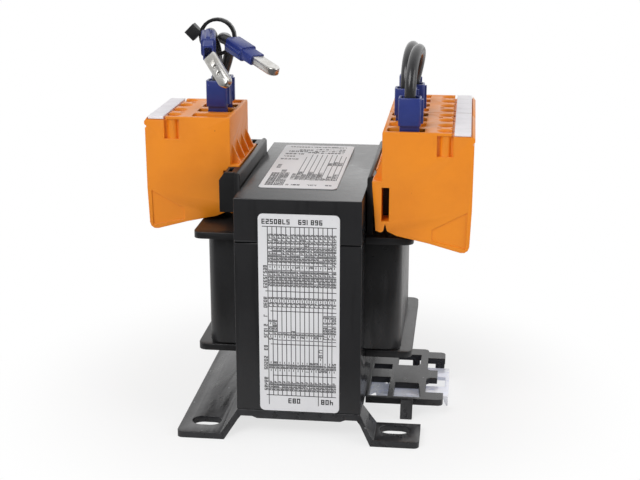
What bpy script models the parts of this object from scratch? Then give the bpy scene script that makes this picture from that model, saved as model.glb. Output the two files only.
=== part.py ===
"""A chassis mains transformer: a laminated core, a bobbin with its windings, three spring-clamp
terminal blocks with plug-in jumpers, a mounting frame and a sprung clip for a 35 mm rail.

Metres, +Z up. The front label faces -Y, and the two side-by-side terminal blocks are at +X.
The origin lies on the mounting surface, under the middle of the core.
"""

import math

import bmesh
import bpy
from mathutils import Matrix, Vector

MM = 0.001

# Clearances
FIT = 0.3 * MM
BUTT_GAP = 0.1 * MM
LABEL_GAP = 0.05 * MM

# Core, an EI 78 lamination: the E is the lower stack and the I closes it at the top
LEG = 26.0 * MM
WINDOW = 13.0 * MM
YOKE = 13.0 * MM
WINDOW_HEIGHT = 39.0 * MM
STACK = 37.0 * MM
WELD_WIDTH = 1.6 * MM

# Mounting frame, bent from one sheet
SHEET = 2.0 * MM
FRAME_CLEAR = 6.0 * MM
FOOT_REACH = 36.1 * MM
FOOT_FRONT = 43.6 * MM
RIGHT_FOOT_LENGTH = 13.2 * MM
RAMP_TOP = 18.4 * MM
RAMP_RUN = 4.4 * MM
FOOT_CORNER = 1.6 * MM
SLOT_LENGTH = 9.0 * MM
SLOT_WIDTH = 6.2 * MM
SLOT_X = 28.5 * MM
SLOT_Y = 35.0 * MM
FRONT_LIP = 0.7 * MM
SHEET_EDGE = 0.3 * MM

# Rail clip plate, latch and spring
RAIL_WIDTH = 35.0 * MM
RAIL_LIP = 1.0 * MM
RAIL_X = 0.6 * MM
CLIP_REACH = 42.4 * MM
CLIP_HALF = 19.6 * MM
CLIP_BAR = 5.2 * MM
SPINE_HALF = 6.6 * MM
TONGUE_HALF = 3.4 * MM
TONGUE_REACH = 40.3 * MM
CROSS_BAR = 3.4 * MM
CROSS_X = 33.6 * MM
RIB_X = 25.1 * MM
RIB_WIDTH = 1.3 * MM
REAR_EAR = 3.2 * MM
HOOK_WEB = 1.1 * MM
HOOK_DEPTH = 2.5 * MM
HOOK_LENGTH = 12.0 * MM
CLAW_WIDTH = 1.5 * MM
CLAW_LENGTH = 9.0 * MM
CLAW_START = 25.5 * MM
TAB_WIDTH = 3.7 * MM
TAB_X = 31.3 * MM
TAB_REACH = 3.6 * MM
TAB_THICKNESS = 1.2 * MM
LATCH_THICKNESS = 1.2 * MM
LATCH_HALF = 11.8 * MM
LATCH_REACH = 43.9 * MM
LATCH_NOSE = 15.2 * MM
LATCH_BITE = 5.0 * MM
LATCH_JOGGLE = 0.9 * MM
LATCH_LIP_DROP = 3.2 * MM
LATCH_TRAVEL = 4.0 * MM
EYE_START = 36.0 * MM
EYE_HALF = 4.0 * MM
SPRING_WINDOW_START = 23.5 * MM
SPRING_WINDOW_HALF = 3.2 * MM
SPRING_TAB_X = 32.4 * MM
SPRING_OUTER = 2.7 * MM
SPRING_WIRE = 0.45 * MM
SPRING_TURNS = 8
RIVET_X = 9.0 * MM
RIVET_RADIUS = 2.0 * MM
RIVET_HEAD = 3.4 * MM
RIVET_HEAD_HEIGHT = 0.8 * MM

# Bobbin and windings
TUBE_WALL = 1.4 * MM
FLANGE = 2.0 * MM
FLANGE_X = 32.7 * MM
FLANGE_Y = 29.0 * MM
FLANGE_CORNER = 2.5 * MM
WALL = 1.8 * MM
WALL_RISE = 4.2 * MM
WALL_HALF = 25.6 * MM
POST_WIDTH = 4.8 * MM
POST_HALF_OUT = 24.2 * MM
POST_LENGTH = 7.4 * MM
POST_DROP = 12.4 * MM
POST_CHAMFER = 2.4 * MM
POST_WALL = 1.1 * MM
POST_BORE = 6.0 * MM
COIL_X = 29.3 * MM
COIL_Y = 25.4 * MM
COIL_CORNER = 4.0 * MM
WRAP = 0.8 * MM
PRIMARY_BUILD = 4.2 * MM
INSULATION = 0.4 * MM

# Terminal blocks, measured outwards from the middle of the core
BLOCK_TOP = 91.7 * MM
BLOCK_INNER = 23.4 * MM
BLOCK_OUTER = 49.6 * MM
BLOCK_PITCH = 32.0 * MM
POLES = 4
POLE_PITCH = 8.0 * MM
BLOCK_LOW_OUTER = 56.4 * MM
BLOCK_LOW_INNER = 62.3 * MM
LEG_INNER = 20.9 * MM
SHELF_TOP = 77.3 * MM
GUSSET_RISE = 5.8 * MM
GUSSET = 1.0 * MM
SOCKET_START = 24.6 * MM
SOCKET_END = 35.3 * MM
SOCKET_WIDTH = 5.0 * MM
SOCKET_DEPTH = 14.5 * MM
ENTRY_X = 41.2 * MM
ENTRY_RADIUS = 2.1 * MM
ENTRY_FUNNEL = 0.5 * MM
ENTRY_DEPTH = 14.0 * MM
NOTCH = 1.2 * MM
NOTCH_SPREAD = 1.9 * MM
NOTCH_DEPTH = 3.0 * MM
MARKER_START = 43.7 * MM
MARKER_END = 48.4 * MM
MARKER_SEAT = 1.0 * MM
MARKER_THICKNESS = 0.9 * MM
MARKER_GROOVE = 0.7 * MM
POCKET_HALF = 2.3 * MM
POCKET_TOP = 0.8 * MM
POCKET_HEIGHT = 6.0 * MM
POCKET_DEPTH = 1.3 * MM
PANEL_DEPTH = 0.35 * MM

# Jumper plugs, contacts and leads
PLUG_WIDTH = 7.3 * MM
PLUG_THICKNESS = 6.0 * MM
PLUG_CORNER = 1.1 * MM
SLEEVE = 8.0 * MM
SLEEVE_DEPTH = 4.0 * MM
SLEEVE_WALL = 0.8 * MM
NECK_WIDTH = 6.4 * MM
NECK_THICKNESS = 4.2 * MM
NECK = 4.7 * MM
PLUG_STANDS = 9.5 * MM
WING = 0.7 * MM
WING_WIDTH = 1.6 * MM
TONGUE_WIDTH = 3.9 * MM
TONGUE_THICKNESS = 2.4 * MM
TONGUE_LENGTH = 12.2 * MM
TONGUE_SEAT = 2.4 * MM
TONGUE_DIMPLE = 0.65 * MM
CLAMP_SHEET = 0.5 * MM
CLAMP_LENGTH = 9.0 * MM
CLAMP_HEIGHT = 8.0 * MM
LEAD = 3.6 * MM
LOOP_TOP = 114.6 * MM
TIE_RADIUS = 4.7 * MM
TIE_THICKNESS = 1.0 * MM
TIE_WIDTH = 2.2 * MM
TIE_HEAD = 3.7 * MM

# Labels
LABEL = 0.2 * MM
FRONT_LABEL_WIDTH = 23.6 * MM
FRONT_LABEL_HEIGHT = 60.6 * MM
TOP_LABEL_WIDTH = 23.2 * MM
TOP_LABEL_LENGTH = 60.0 * MM
TOP_LABEL_X = -1.8 * MM
TOP_LABEL_Y = 4.0 * MM
LABEL_CORNER = 1.4 * MM

# Worked out from the sizes above
CORE_DEPTH = LEG + 2 * WINDOW + 2 * YOKE
CORE_HEIGHT = WINDOW_HEIGHT + 2 * YOKE
CORE_BOTTOM = FRAME_CLEAR + SHEET
CORE_TOP = CORE_BOTTOM + CORE_HEIGHT
JOINT_HEIGHT = CORE_TOP - YOKE
WINDOW_BOTTOM = CORE_BOTTOM + YOKE
SIDE = STACK / 2
FACE = CORE_DEPTH / 2
TUBE_X = SIDE + FIT + TUBE_WALL
TUBE_Y = LEG / 2 + FIT + TUBE_WALL
COIL_BOTTOM = WINDOW_BOTTOM + FIT + FLANGE + FIT
COIL_TOP = JOINT_HEIGHT - FIT - FLANGE - FIT
WALL_X = SIDE + FIT
WALL_TOP = CORE_TOP + WALL_RISE
POST_INNER_END = POST_HALF_OUT - POST_LENGTH
FRAME_TOP = CORE_BOTTOM - BUTT_GAP
CLIP_TOP = FRAME_TOP - SHEET - BUTT_GAP
CLIP_BOTTOM = CLIP_TOP - SHEET
LATCH_TOP = CLIP_BOTTOM - FIT
LATCH_BOTTOM = LATCH_TOP - LATCH_THICKNESS
SOCKET_X = (SOCKET_START + SOCKET_END) / 2
SOCKET_FLOOR = BLOCK_TOP - SOCKET_DEPTH
PLUG_TOP = BLOCK_TOP + PLUG_STANDS
BLOCK_LENGTH = BLOCK_PITCH - FIT

PLANES = {
    "XY": Matrix.Identity(3),
    "XZ": Matrix(((1, 0, 0), (0, 0, -1), (0, 1, 0))),
    "YZ": Matrix(((0, 0, 1), (1, 0, 0), (0, 1, 0))),
}
NORMALS = {"XY": Vector((0, 0, 1)), "XZ": Vector((0, 1, 0)), "YZ": Vector((1, 0, 0))}


def clear_scene():
    for old in list(bpy.data.objects):
        bpy.data.objects.remove(old, do_unlink=True)


clear_scene()
PARTS = bpy.data.collections.new("mains_transformer")
CUTTERS = bpy.data.collections.new("cutters")
bpy.context.scene.collection.children.link(PARTS)
bpy.context.scene.collection.children.link(CUTTERS)


def material(name, colour, roughness, metallic=0.0):
    made = bpy.data.materials.new(name)
    made.use_nodes = True
    shader = made.node_tree.nodes["Principled BSDF"]
    shader.inputs["Base Color"].default_value = (*colour, 1.0)
    shader.inputs["Roughness"].default_value = roughness
    shader.inputs["Metallic"].default_value = metallic
    made.diffuse_color = (*colour, 1.0)
    return made


def as_cutter(obj):
    """A helper shape: kept in its own collection, drawn as wire and never rendered."""
    for owner in list(obj.users_collection):
        owner.objects.unlink(obj)
    CUTTERS.objects.link(obj)
    obj.hide_render = True
    obj.display_type = "WIRE"
    return obj


def new_object(name, mesh):
    obj = bpy.data.objects.new(name, mesh)
    PARTS.objects.link(obj)
    return obj


def tidy(mesh):
    """Welds what touches and turns every face outwards."""
    work = bmesh.new()
    work.from_mesh(mesh)
    bmesh.ops.remove_doubles(work, verts=work.verts, dist=1e-6)
    bmesh.ops.recalc_face_normals(work, faces=work.faces)
    work.to_mesh(mesh)
    work.free()


def mesh_of(obj):
    """The object's evaluated shape as a new mesh; the object itself is removed."""
    bpy.context.view_layer.update()
    graph = bpy.context.evaluated_depsgraph_get()
    mesh = bpy.data.meshes.new_from_object(obj.evaluated_get(graph))
    tidy(mesh)
    bpy.data.objects.remove(obj, do_unlink=True)
    return mesh


def prism(name, outlines, plane, low, high, edge=0.0):
    """A flat outline (and its holes) drawn in a plane and carried from low to high across it."""
    curve = bpy.data.curves.new(name, "CURVE")
    curve.dimensions = "2D"
    curve.fill_mode = "BOTH"
    curve.extrude = (high - low) / 2 - edge
    curve.bevel_depth = edge
    curve.bevel_resolution = 1
    curve.offset = -edge
    for outline in outlines:
        spline = curve.splines.new("POLY")
        spline.points.add(len(outline) - 1)
        for point, place in zip(spline.points, outline):
            point.co = (place[0], place[1], 0.0, 1.0)
        spline.use_cyclic_u = True
    mesh = mesh_of(new_object(name + "_outline", curve))
    bpy.data.curves.remove(curve)
    middle = Matrix.Translation(NORMALS[plane] * (low + high) / 2)
    mesh.transform(middle @ PLANES[plane].to_4x4())
    tidy(mesh)
    return new_object(name, mesh)


def box(name, low, high, edge=0.0, segments=2):
    """A box between two corners, with an optional rounding on all its edges."""
    low, high = Vector(low), Vector(high)
    work = bmesh.new()
    bmesh.ops.create_cube(work, size=1.0)
    size = high - low
    bmesh.ops.scale(work, vec=size, verts=work.verts)
    bmesh.ops.translate(work, vec=(low + high) / 2, verts=work.verts)
    if edge:
        bmesh.ops.bevel(work, geom=work.edges, offset=edge, segments=segments, affect="EDGES", profile=0.5)
    mesh = bpy.data.meshes.new(name)
    work.to_mesh(mesh)
    work.free()
    return new_object(name, mesh)


def rod(name, radius, start, end, sides=24, end_radius=None):
    """A cylinder, or a cone where end_radius differs, between two points."""
    start, end = Vector(start), Vector(end)
    along = end - start
    work = bmesh.new()
    far = radius if end_radius is None else end_radius
    bmesh.ops.create_cone(
        work, cap_ends=True, segments=sides, radius1=radius, radius2=far, depth=along.length
    )
    turn = along.to_track_quat("Z", "Y").to_matrix().to_4x4()
    bmesh.ops.transform(work, matrix=Matrix.Translation((start + end) / 2) @ turn, verts=work.verts)
    mesh = bpy.data.meshes.new(name)
    work.to_mesh(mesh)
    work.free()
    return new_object(name, mesh)


def combine(obj, other, operation):
    as_cutter(other)
    step = obj.modifiers.new(other.name, "BOOLEAN")
    step.operation = operation
    step.solver = "EXACT"
    step.object = other
    return obj


def cut(obj, *cutters):
    for cutter in cutters:
        combine(obj, cutter, "DIFFERENCE")
    return obj


def fuse(obj, *others):
    for other in others:
        combine(obj, other, "UNION")
    return obj


def baked(obj, name):
    """The finished shape of a piece that is used more than once; its helpers are removed."""
    helpers = [step.object for step in obj.modifiers if step.type == "BOOLEAN"]
    mesh = mesh_of(obj)
    for helper in helpers:
        bpy.data.objects.remove(helper, do_unlink=True)
    mesh.name = name
    return mesh


def finish(obj, look, smooth=False):
    mesh = obj.data
    mesh.materials.clear()
    mesh.materials.append(look)
    if smooth:
        mesh.shade_smooth()
        mesh.set_sharp_from_angle(angle=math.radians(35))
    return obj


def arc(centre, radius, start, end, steps):
    """Points along an arc; the angles are in degrees."""
    found = []
    for i in range(steps + 1):
        angle = math.radians(start + (end - start) * i / steps)
        found.append((centre[0] + radius * math.cos(angle), centre[1] + radius * math.sin(angle)))
    return found


def rounded_box(half_x, half_y, radius, steps=4, centre=(0.0, 0.0)):
    """A rectangle about a centre with round corners, counter-clockwise."""
    x, y = half_x - radius, half_y - radius
    points = []
    for sign_x, sign_y, start in ((1, 1, 0), (-1, 1, 90), (-1, -1, 180), (1, -1, 270)):
        corner = (centre[0] + sign_x * x, centre[1] + sign_y * y)
        points += arc(corner, radius, start, start + 90, steps)
    return points


def rounded(points, radii, steps=3):
    """A closed outline whose corners are rounded by the radii given for them."""
    shape = []
    count = len(points)
    for i, (place, radius) in enumerate(zip(points, radii)):
        here = Vector(place)
        if radius <= 0:
            shape.append((here.x, here.y))
            continue
        before = (Vector(points[i - 1]) - here).normalized()
        after = (Vector(points[(i + 1) % count]) - here).normalized()
        half = before.angle(after) / 2
        reach = radius / math.tan(half)
        centre = here + (before + after).normalized() * radius / math.sin(half)
        first, last = here + before * reach - centre, here + after * reach - centre
        turn = first.angle_signed(last)
        for k in range(steps + 1):
            part = Matrix.Rotation(-turn * k / steps, 2) @ first
            shape.append((centre.x + part.x, centre.y + part.y))
    return shape


def strip(path, thickness):
    """The outline of a bent sheet: its upper line, and the same line moved down square to each leg."""
    upper = [Vector(place) for place in path]
    lower = []
    for i, here in enumerate(upper):
        before = (here - upper[i - 1]).normalized() if i else (upper[1] - here).normalized()
        after = (upper[i + 1] - here).normalized() if i < len(upper) - 1 else before
        left = Vector((before.y, -before.x)) + Vector((after.y, -after.x))
        left.normalize()
        share = max(0.2, left.dot(Vector((before.y, -before.x))))
        lower.append(here + left * thickness / share)
    return [tuple(v) for v in upper] + [tuple(v) for v in reversed(lower)]


def smooth_route(points, count):
    """Evenly numbered points read from a smooth curve through the route's own points."""
    ends = [2 * points[0] - points[1]] + list(points) + [2 * points[-1] - points[-2]]
    found = []
    for i in range(count):
        place = (len(points) - 1) * i / (count - 1)
        k = min(int(place), len(points) - 2)
        t = place - k
        a, b, c, d = ends[k : k + 4]
        found.append(
            0.5 * ((2 * b) + (c - a) * t + (2 * a - 5 * b + 4 * c - d) * t**2 + (3 * b - a - 3 * c + d) * t**3)
        )
    return found


def tube(name, points, diameter, look, resolution=2):
    curve = bpy.data.curves.new(name, "CURVE")
    curve.dimensions = "3D"
    curve.bevel_depth = diameter / 2
    curve.bevel_resolution = resolution
    curve.use_fill_caps = True
    spline = curve.splines.new("POLY")
    spline.points.add(len(points) - 1)
    for point, place in zip(spline.points, points):
        point.co = (*place, 1.0)
    curve.materials.append(look)
    return new_object(name, curve)


# Looks, from the photograph
LAMINATION = material("varnished_lamination", (0.024, 0.024, 0.026), 0.42, 0.3)
WELD = material("varnished_weld", (0.03, 0.03, 0.032), 0.5, 0.4)
BOBBIN = material("black_bobbin_plastic", (0.018, 0.018, 0.019), 0.45)
COPPER = material("enamelled_copper", (0.48, 0.17, 0.07), 0.35, 0.9)
FILM = material("insulating_film", (0.62, 0.52, 0.30), 0.5)
WRAPPING = material("black_coil_wrap", (0.022, 0.022, 0.023), 0.4)
FRAME = material("dipped_steel", (0.075, 0.075, 0.08), 0.45, 0.5)
ZINC = material("bright_zinc", (0.62, 0.64, 0.70), 0.28, 1.0)
SPRING_STEEL = material("spring_steel", (0.45, 0.45, 0.46), 0.3, 1.0)
HOUSING = material("orange_polyamide", (0.73, 0.235, 0.017), 0.42)
MARKER = material("white_marker", (0.80, 0.80, 0.82), 0.5)
PLUG = material("blue_polyamide", (0.027, 0.037, 0.19), 0.35)
TIN = material("tinned_contact", (0.60, 0.59, 0.57), 0.3, 1.0)
RUBBER = material("black_pvc", (0.03, 0.03, 0.031), 0.5)
NYLON = material("black_nylon", (0.02, 0.02, 0.02), 0.45)
PAPER = material("label_film", (0.66, 0.66, 0.69), 0.4)


def make_core():
    """The E stack stands on its yoke; the I stack closes it and two welds hold them."""
    low, joint, top = CORE_BOTTOM, JOINT_HEIGHT, CORE_TOP
    leg, window, chamfer = LEG / 2, LEG / 2 + WINDOW, WELD_WIDTH / 2
    half = [
        (leg, joint - BUTT_GAP),
        (leg, WINDOW_BOTTOM),
        (window, WINDOW_BOTTOM),
        (window, joint - BUTT_GAP),
        (FACE - chamfer, joint - BUTT_GAP),
        (FACE, joint - BUTT_GAP - chamfer),
        (FACE, low),
    ]
    outline = half + [(-y, z) for y, z in reversed(half)]
    finish(prism("core_e_stack", [outline], "YZ", -SIDE, SIDE), LAMINATION)
    half = [(FACE - chamfer, joint), (FACE, joint + chamfer), (FACE, top)]
    outline = half + [(-y, z) for y, z in reversed(half)]
    finish(prism("core_i_stack", [outline], "YZ", -SIDE, SIDE), LAMINATION)
    for name, side in (("core_weld_front", -1), ("core_weld_rear", 1)):
        inner = FACE - chamfer + FIT
        middle = joint - BUTT_GAP / 2
        rise = chamfer - 2 * FIT
        bead = [(side * inner, middle), (side * FACE, middle - rise), (side * FACE, middle + rise)]
        finish(prism(name, [bead], "YZ", -SIDE + FIT, SIDE - FIT), WELD)


def flange_outline():
    """Wide ends beside the core and a neck that passes through its windows."""
    neck_x = SIDE + FIT
    neck_y = LEG / 2 + WINDOW - FIT
    quarter = [(neck_x, neck_y), (neck_x, FLANGE_Y)]
    quarter += list(reversed(arc((FLANGE_X - FLANGE_CORNER, FLANGE_Y - FLANGE_CORNER), FLANGE_CORNER, 0, 90, 4)))
    right = quarter + [(x, -y) for x, y in reversed(quarter)]
    return right + [(-x, -y) for x, y in right]


def make_bobbin():
    """A tube on the centre leg, two flanges, and the walls and posts that carry the blocks."""
    bottom = WINDOW_BOTTOM + FIT
    top = JOINT_HEIGHT - FIT
    body = prism("bobbin", [rounded_box(TUBE_X, TUBE_Y, 0.5 * MM, 1)], "XY", bottom + FLANGE / 2, top - FLANGE / 2)
    for name, low in (("flange_low", bottom), ("flange_top", top - FLANGE)):
        fuse(body, prism(name, [flange_outline()], "XY", low, low + FLANGE))
    for side in (-1, 1):
        tag = "left" if side < 0 else "right"
        inner, outer = side * WALL_X, side * (WALL_X + WALL)
        low_x, high_x = min(inner, outer), max(inner, outer)
        crest = list(reversed(arc(((low_x + high_x) / 2, WALL_TOP - WALL / 2), WALL / 2, 0, 180, 6)))
        profile = [(low_x, top - FLANGE / 2)] + crest + [(high_x, top - FLANGE / 2)]
        fuse(body, prism("wall_" + tag, [profile], "XZ", -WALL_HALF, WALL_HALF))
        for end in (-1, 1):
            name = f"post_{tag}_{'front' if end < 0 else 'rear'}"
            fuse(body, post(name, side, end))
            near, far = WALL_X + WALL + POST_WALL, WALL_X + WALL + POST_WIDTH - POST_CHAMFER
            y0, y1 = end * (POST_INNER_END + POST_WALL), end * (POST_HALF_OUT - POST_WALL)
            bore = box(
                name + "_bore",
                (min(side * near, side * far), min(y0, y1), WALL_TOP - POST_BORE),
                (max(side * near, side * far), max(y0, y1), WALL_TOP + FIT),
            )
            cut(body, bore)
    passage = box(
        "leg_passage",
        (-SIDE - FIT, -LEG / 2 - FIT, bottom - FLANGE),
        (SIDE + FIT, LEG / 2 + FIT, top + FLANGE),
    )
    cut(body, passage)
    finish(body, BOBBIN)


def post(name, side, end):
    """One hollow corner post: a block against the wall, with its outer top corner taken off."""
    inner, outer = WALL_X + WALL / 2, WALL_X + WALL + POST_WIDTH
    top = WALL_TOP - 0.2 * MM
    low = WALL_TOP - POST_DROP
    profile = [
        (inner, low),
        (outer, low),
        (outer, top - POST_CHAMFER),
        (outer - POST_CHAMFER * 0.7, top),
        (inner, top),
    ]
    outline = [(side * x, z) for x, z in profile]
    y0, y1 = sorted((end * POST_INNER_END, end * POST_HALF_OUT))
    return prism(name, [outline], "XZ", y0, y1)


def make_windings():
    """Rings of copper and film, one inside the next, closed by the outer wrap."""
    inner = (TUBE_X + FIT, TUBE_Y + FIT)
    primary = (inner[0] + PRIMARY_BUILD, inner[1] + PRIMARY_BUILD)
    film_in = (primary[0] + FIT, primary[1] + FIT)
    film_out = (film_in[0] + INSULATION, film_in[1] + INSULATION)
    second_in = (film_out[0] + FIT, film_out[1] + FIT)
    wrap_out = (COIL_X, COIL_Y)
    wrap_in = (COIL_X - WRAP, COIL_Y - WRAP)
    second_out = (wrap_in[0] - FIT, wrap_in[1] - FIT)
    rings = (
        ("primary_winding", primary, inner, COPPER, 2.2 * MM),
        ("interlayer_insulation", film_out, film_in, FILM, 2.4 * MM),
        ("secondary_winding", second_out, second_in, COPPER, 3.2 * MM),
        ("outer_wrap", wrap_out, wrap_in, WRAPPING, COIL_CORNER),
    )
    for name, outer, hole, look, corner in rings:
        wall = min(outer[0] - hole[0], outer[1] - hole[1])
        hole_corner = max(0.4 * MM, corner - wall)
        outlines = [
            rounded_box(*outer, corner, 5),
            list(reversed(rounded_box(*hole, hole_corner, 5))),
        ]
        ring = prism(name, outlines, "XY", COIL_BOTTOM, COIL_TOP)
        finish(ring, look, smooth=True)


def make_frame():
    """One bent sheet: a plate under the core, a long foot on the left and a short one on the right."""
    ramp_foot = RAMP_TOP + RAMP_RUN
    plate_top = FRAME_TOP
    inner = RAMP_TOP - 4 * MM
    left_path = [(-FOOT_REACH, SHEET), (-ramp_foot, SHEET), (-RAMP_TOP, plate_top), (-inner, plate_top)]
    body = box("base_frame", (-inner - MM, -FACE, plate_top - SHEET), (RAMP_TOP, FACE, plate_top))
    left = prism("left_foot", [strip(left_path, SHEET)], "XZ", -FOOT_FRONT, FOOT_FRONT)
    for end in (-1, 1):
        low, high = sorted((end * FACE, end * (FOOT_FRONT + MM)))
        relief = [(-ramp_foot + MM, end * (FOOT_FRONT + MM)), (0.0, end * (FOOT_FRONT + MM)), (0.0, end * FACE)]
        relief += [(-RAMP_TOP, end * FACE), (-ramp_foot + MM, end * FOOT_FRONT)]
        cut(left, prism(f"ramp_relief_{'front' if end < 0 else 'rear'}", [relief], "XY", -MM, CORE_BOTTOM + MM))
    left_mesh = baked(left, "left_foot")
    fuse(body, new_object("left_foot", left_mesh))
    right_path = [(inner, plate_top), (RAMP_TOP, plate_top), (ramp_foot, SHEET), (FOOT_REACH, SHEET)]
    right = prism("right_foot", [strip(right_path, SHEET)], "XZ", -FOOT_FRONT, -FOOT_FRONT + RIGHT_FOOT_LENGTH)
    relief = [(0.0, -FOOT_FRONT - MM), (ramp_foot - MM, -FOOT_FRONT - MM), (ramp_foot - MM, -FOOT_FRONT)]
    relief += [(RAMP_TOP, -FACE), (0.0, -FACE)]
    cut(right, prism("neck_relief", [relief], "XY", -MM, CORE_BOTTOM + MM))
    fuse(body, new_object("right_foot", baked(right, "right_foot")))
    lip_half = SIDE - 2 * MM
    lip = [(-lip_half, plate_top - SHEET / 2), (-lip_half + 4 * MM, FRAME_CLEAR - FRONT_LIP)]
    lip += [(lip_half - 4 * MM, FRAME_CLEAR - FRONT_LIP), (lip_half, plate_top - SHEET / 2)]
    fuse(body, prism("front_lip", [lip], "XZ", -FACE, -FACE + SHEET))
    slots = ((-SLOT_X, -SLOT_Y), (-SLOT_X, SLOT_Y), (SLOT_X, -SLOT_Y))
    for i, place in enumerate(slots):
        shape = rounded_box(SLOT_LENGTH / 2, SLOT_WIDTH / 2, SLOT_WIDTH / 2 - 0.05 * MM, 6, place)
        cut(body, prism(f"fixing_slot_{i + 1}", [shape], "XY", -MM, SHEET + MM))
    corners = ((-1, -1), (-1, 1), (1, -1))
    for i, (side, end) in enumerate(corners):
        r = FOOT_CORNER
        x, y = side * FOOT_REACH, end * FOOT_FRONT
        centre = (x - side * r, y - end * r)
        start = math.degrees(math.atan2(0, side))
        sweep = 90 * side * end
        curve_points = arc(centre, r, start, start + sweep, 5)
        clip = curve_points + [(x - side * r, y + end * MM), (x + side * MM, y + end * MM), (x + side * MM, y - end * r)]
        cut(body, prism(f"foot_corner_{i + 1}", [clip], "XY", -MM, SHEET + MM))
    for i, end in enumerate((-1, 1)):
        cut(body, rod(f"rivet_hole_{i + 1}", RIVET_RADIUS + FIT / 2, (-RIVET_X * end, 0, 0), (-RIVET_X * end, 0, CORE_BOTTOM + MM)))
        cut(
            body,
            rod(
                f"rivet_recess_{i + 1}",
                RIVET_HEAD + FIT,
                (-RIVET_X * end, 0, plate_top - RIVET_HEAD_HEIGHT - FIT),
                (-RIVET_X * end, 0, plate_top + MM),
            ),
        )
    finish(body, FRAME)


def ramp_underside(z):
    """How far out the inner face of a foot's ramp is at a height."""
    rise = FRAME_TOP - SHEET
    slant = math.hypot(RAMP_RUN, rise)
    drop = SHEET * slant / RAMP_RUN
    return RAMP_TOP + (FRAME_TOP - drop - z) * RAMP_RUN / rise


def clip_windows():
    """The openings of the clip plate, as (name, low x, low y, high x, high y)."""
    cross = CROSS_X
    front = -CLIP_HALF + CLIP_BAR
    return (
        ("window_front_inner", SIDE + MM, front, RIB_X, -SPINE_HALF),
        ("window_front_outer", RIB_X + RIB_WIDTH, front - 3 * MM, cross, -SPINE_HALF - MM),
        ("window_rear_inner", SIDE + MM, SPINE_HALF - 2.6 * MM, RIB_X, SPINE_HALF + 2 * MM),
        ("window_rear_outer", RIB_X + 2 * MM, SPINE_HALF + MM, cross - 0.4 * MM, CLIP_HALF - 5 * MM),
        ("window_eye_front", cross + CROSS_BAR, front, CLIP_REACH + MM, -TONGUE_HALF),
        ("window_eye_rear", cross + CROSS_BAR, TONGUE_HALF, CLIP_REACH + MM, CLIP_HALF - CLIP_BAR),
        ("window_tongue_end", TONGUE_REACH, -TONGUE_HALF - MM, CLIP_REACH + MM, TONGUE_HALF + MM),
    )


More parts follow.
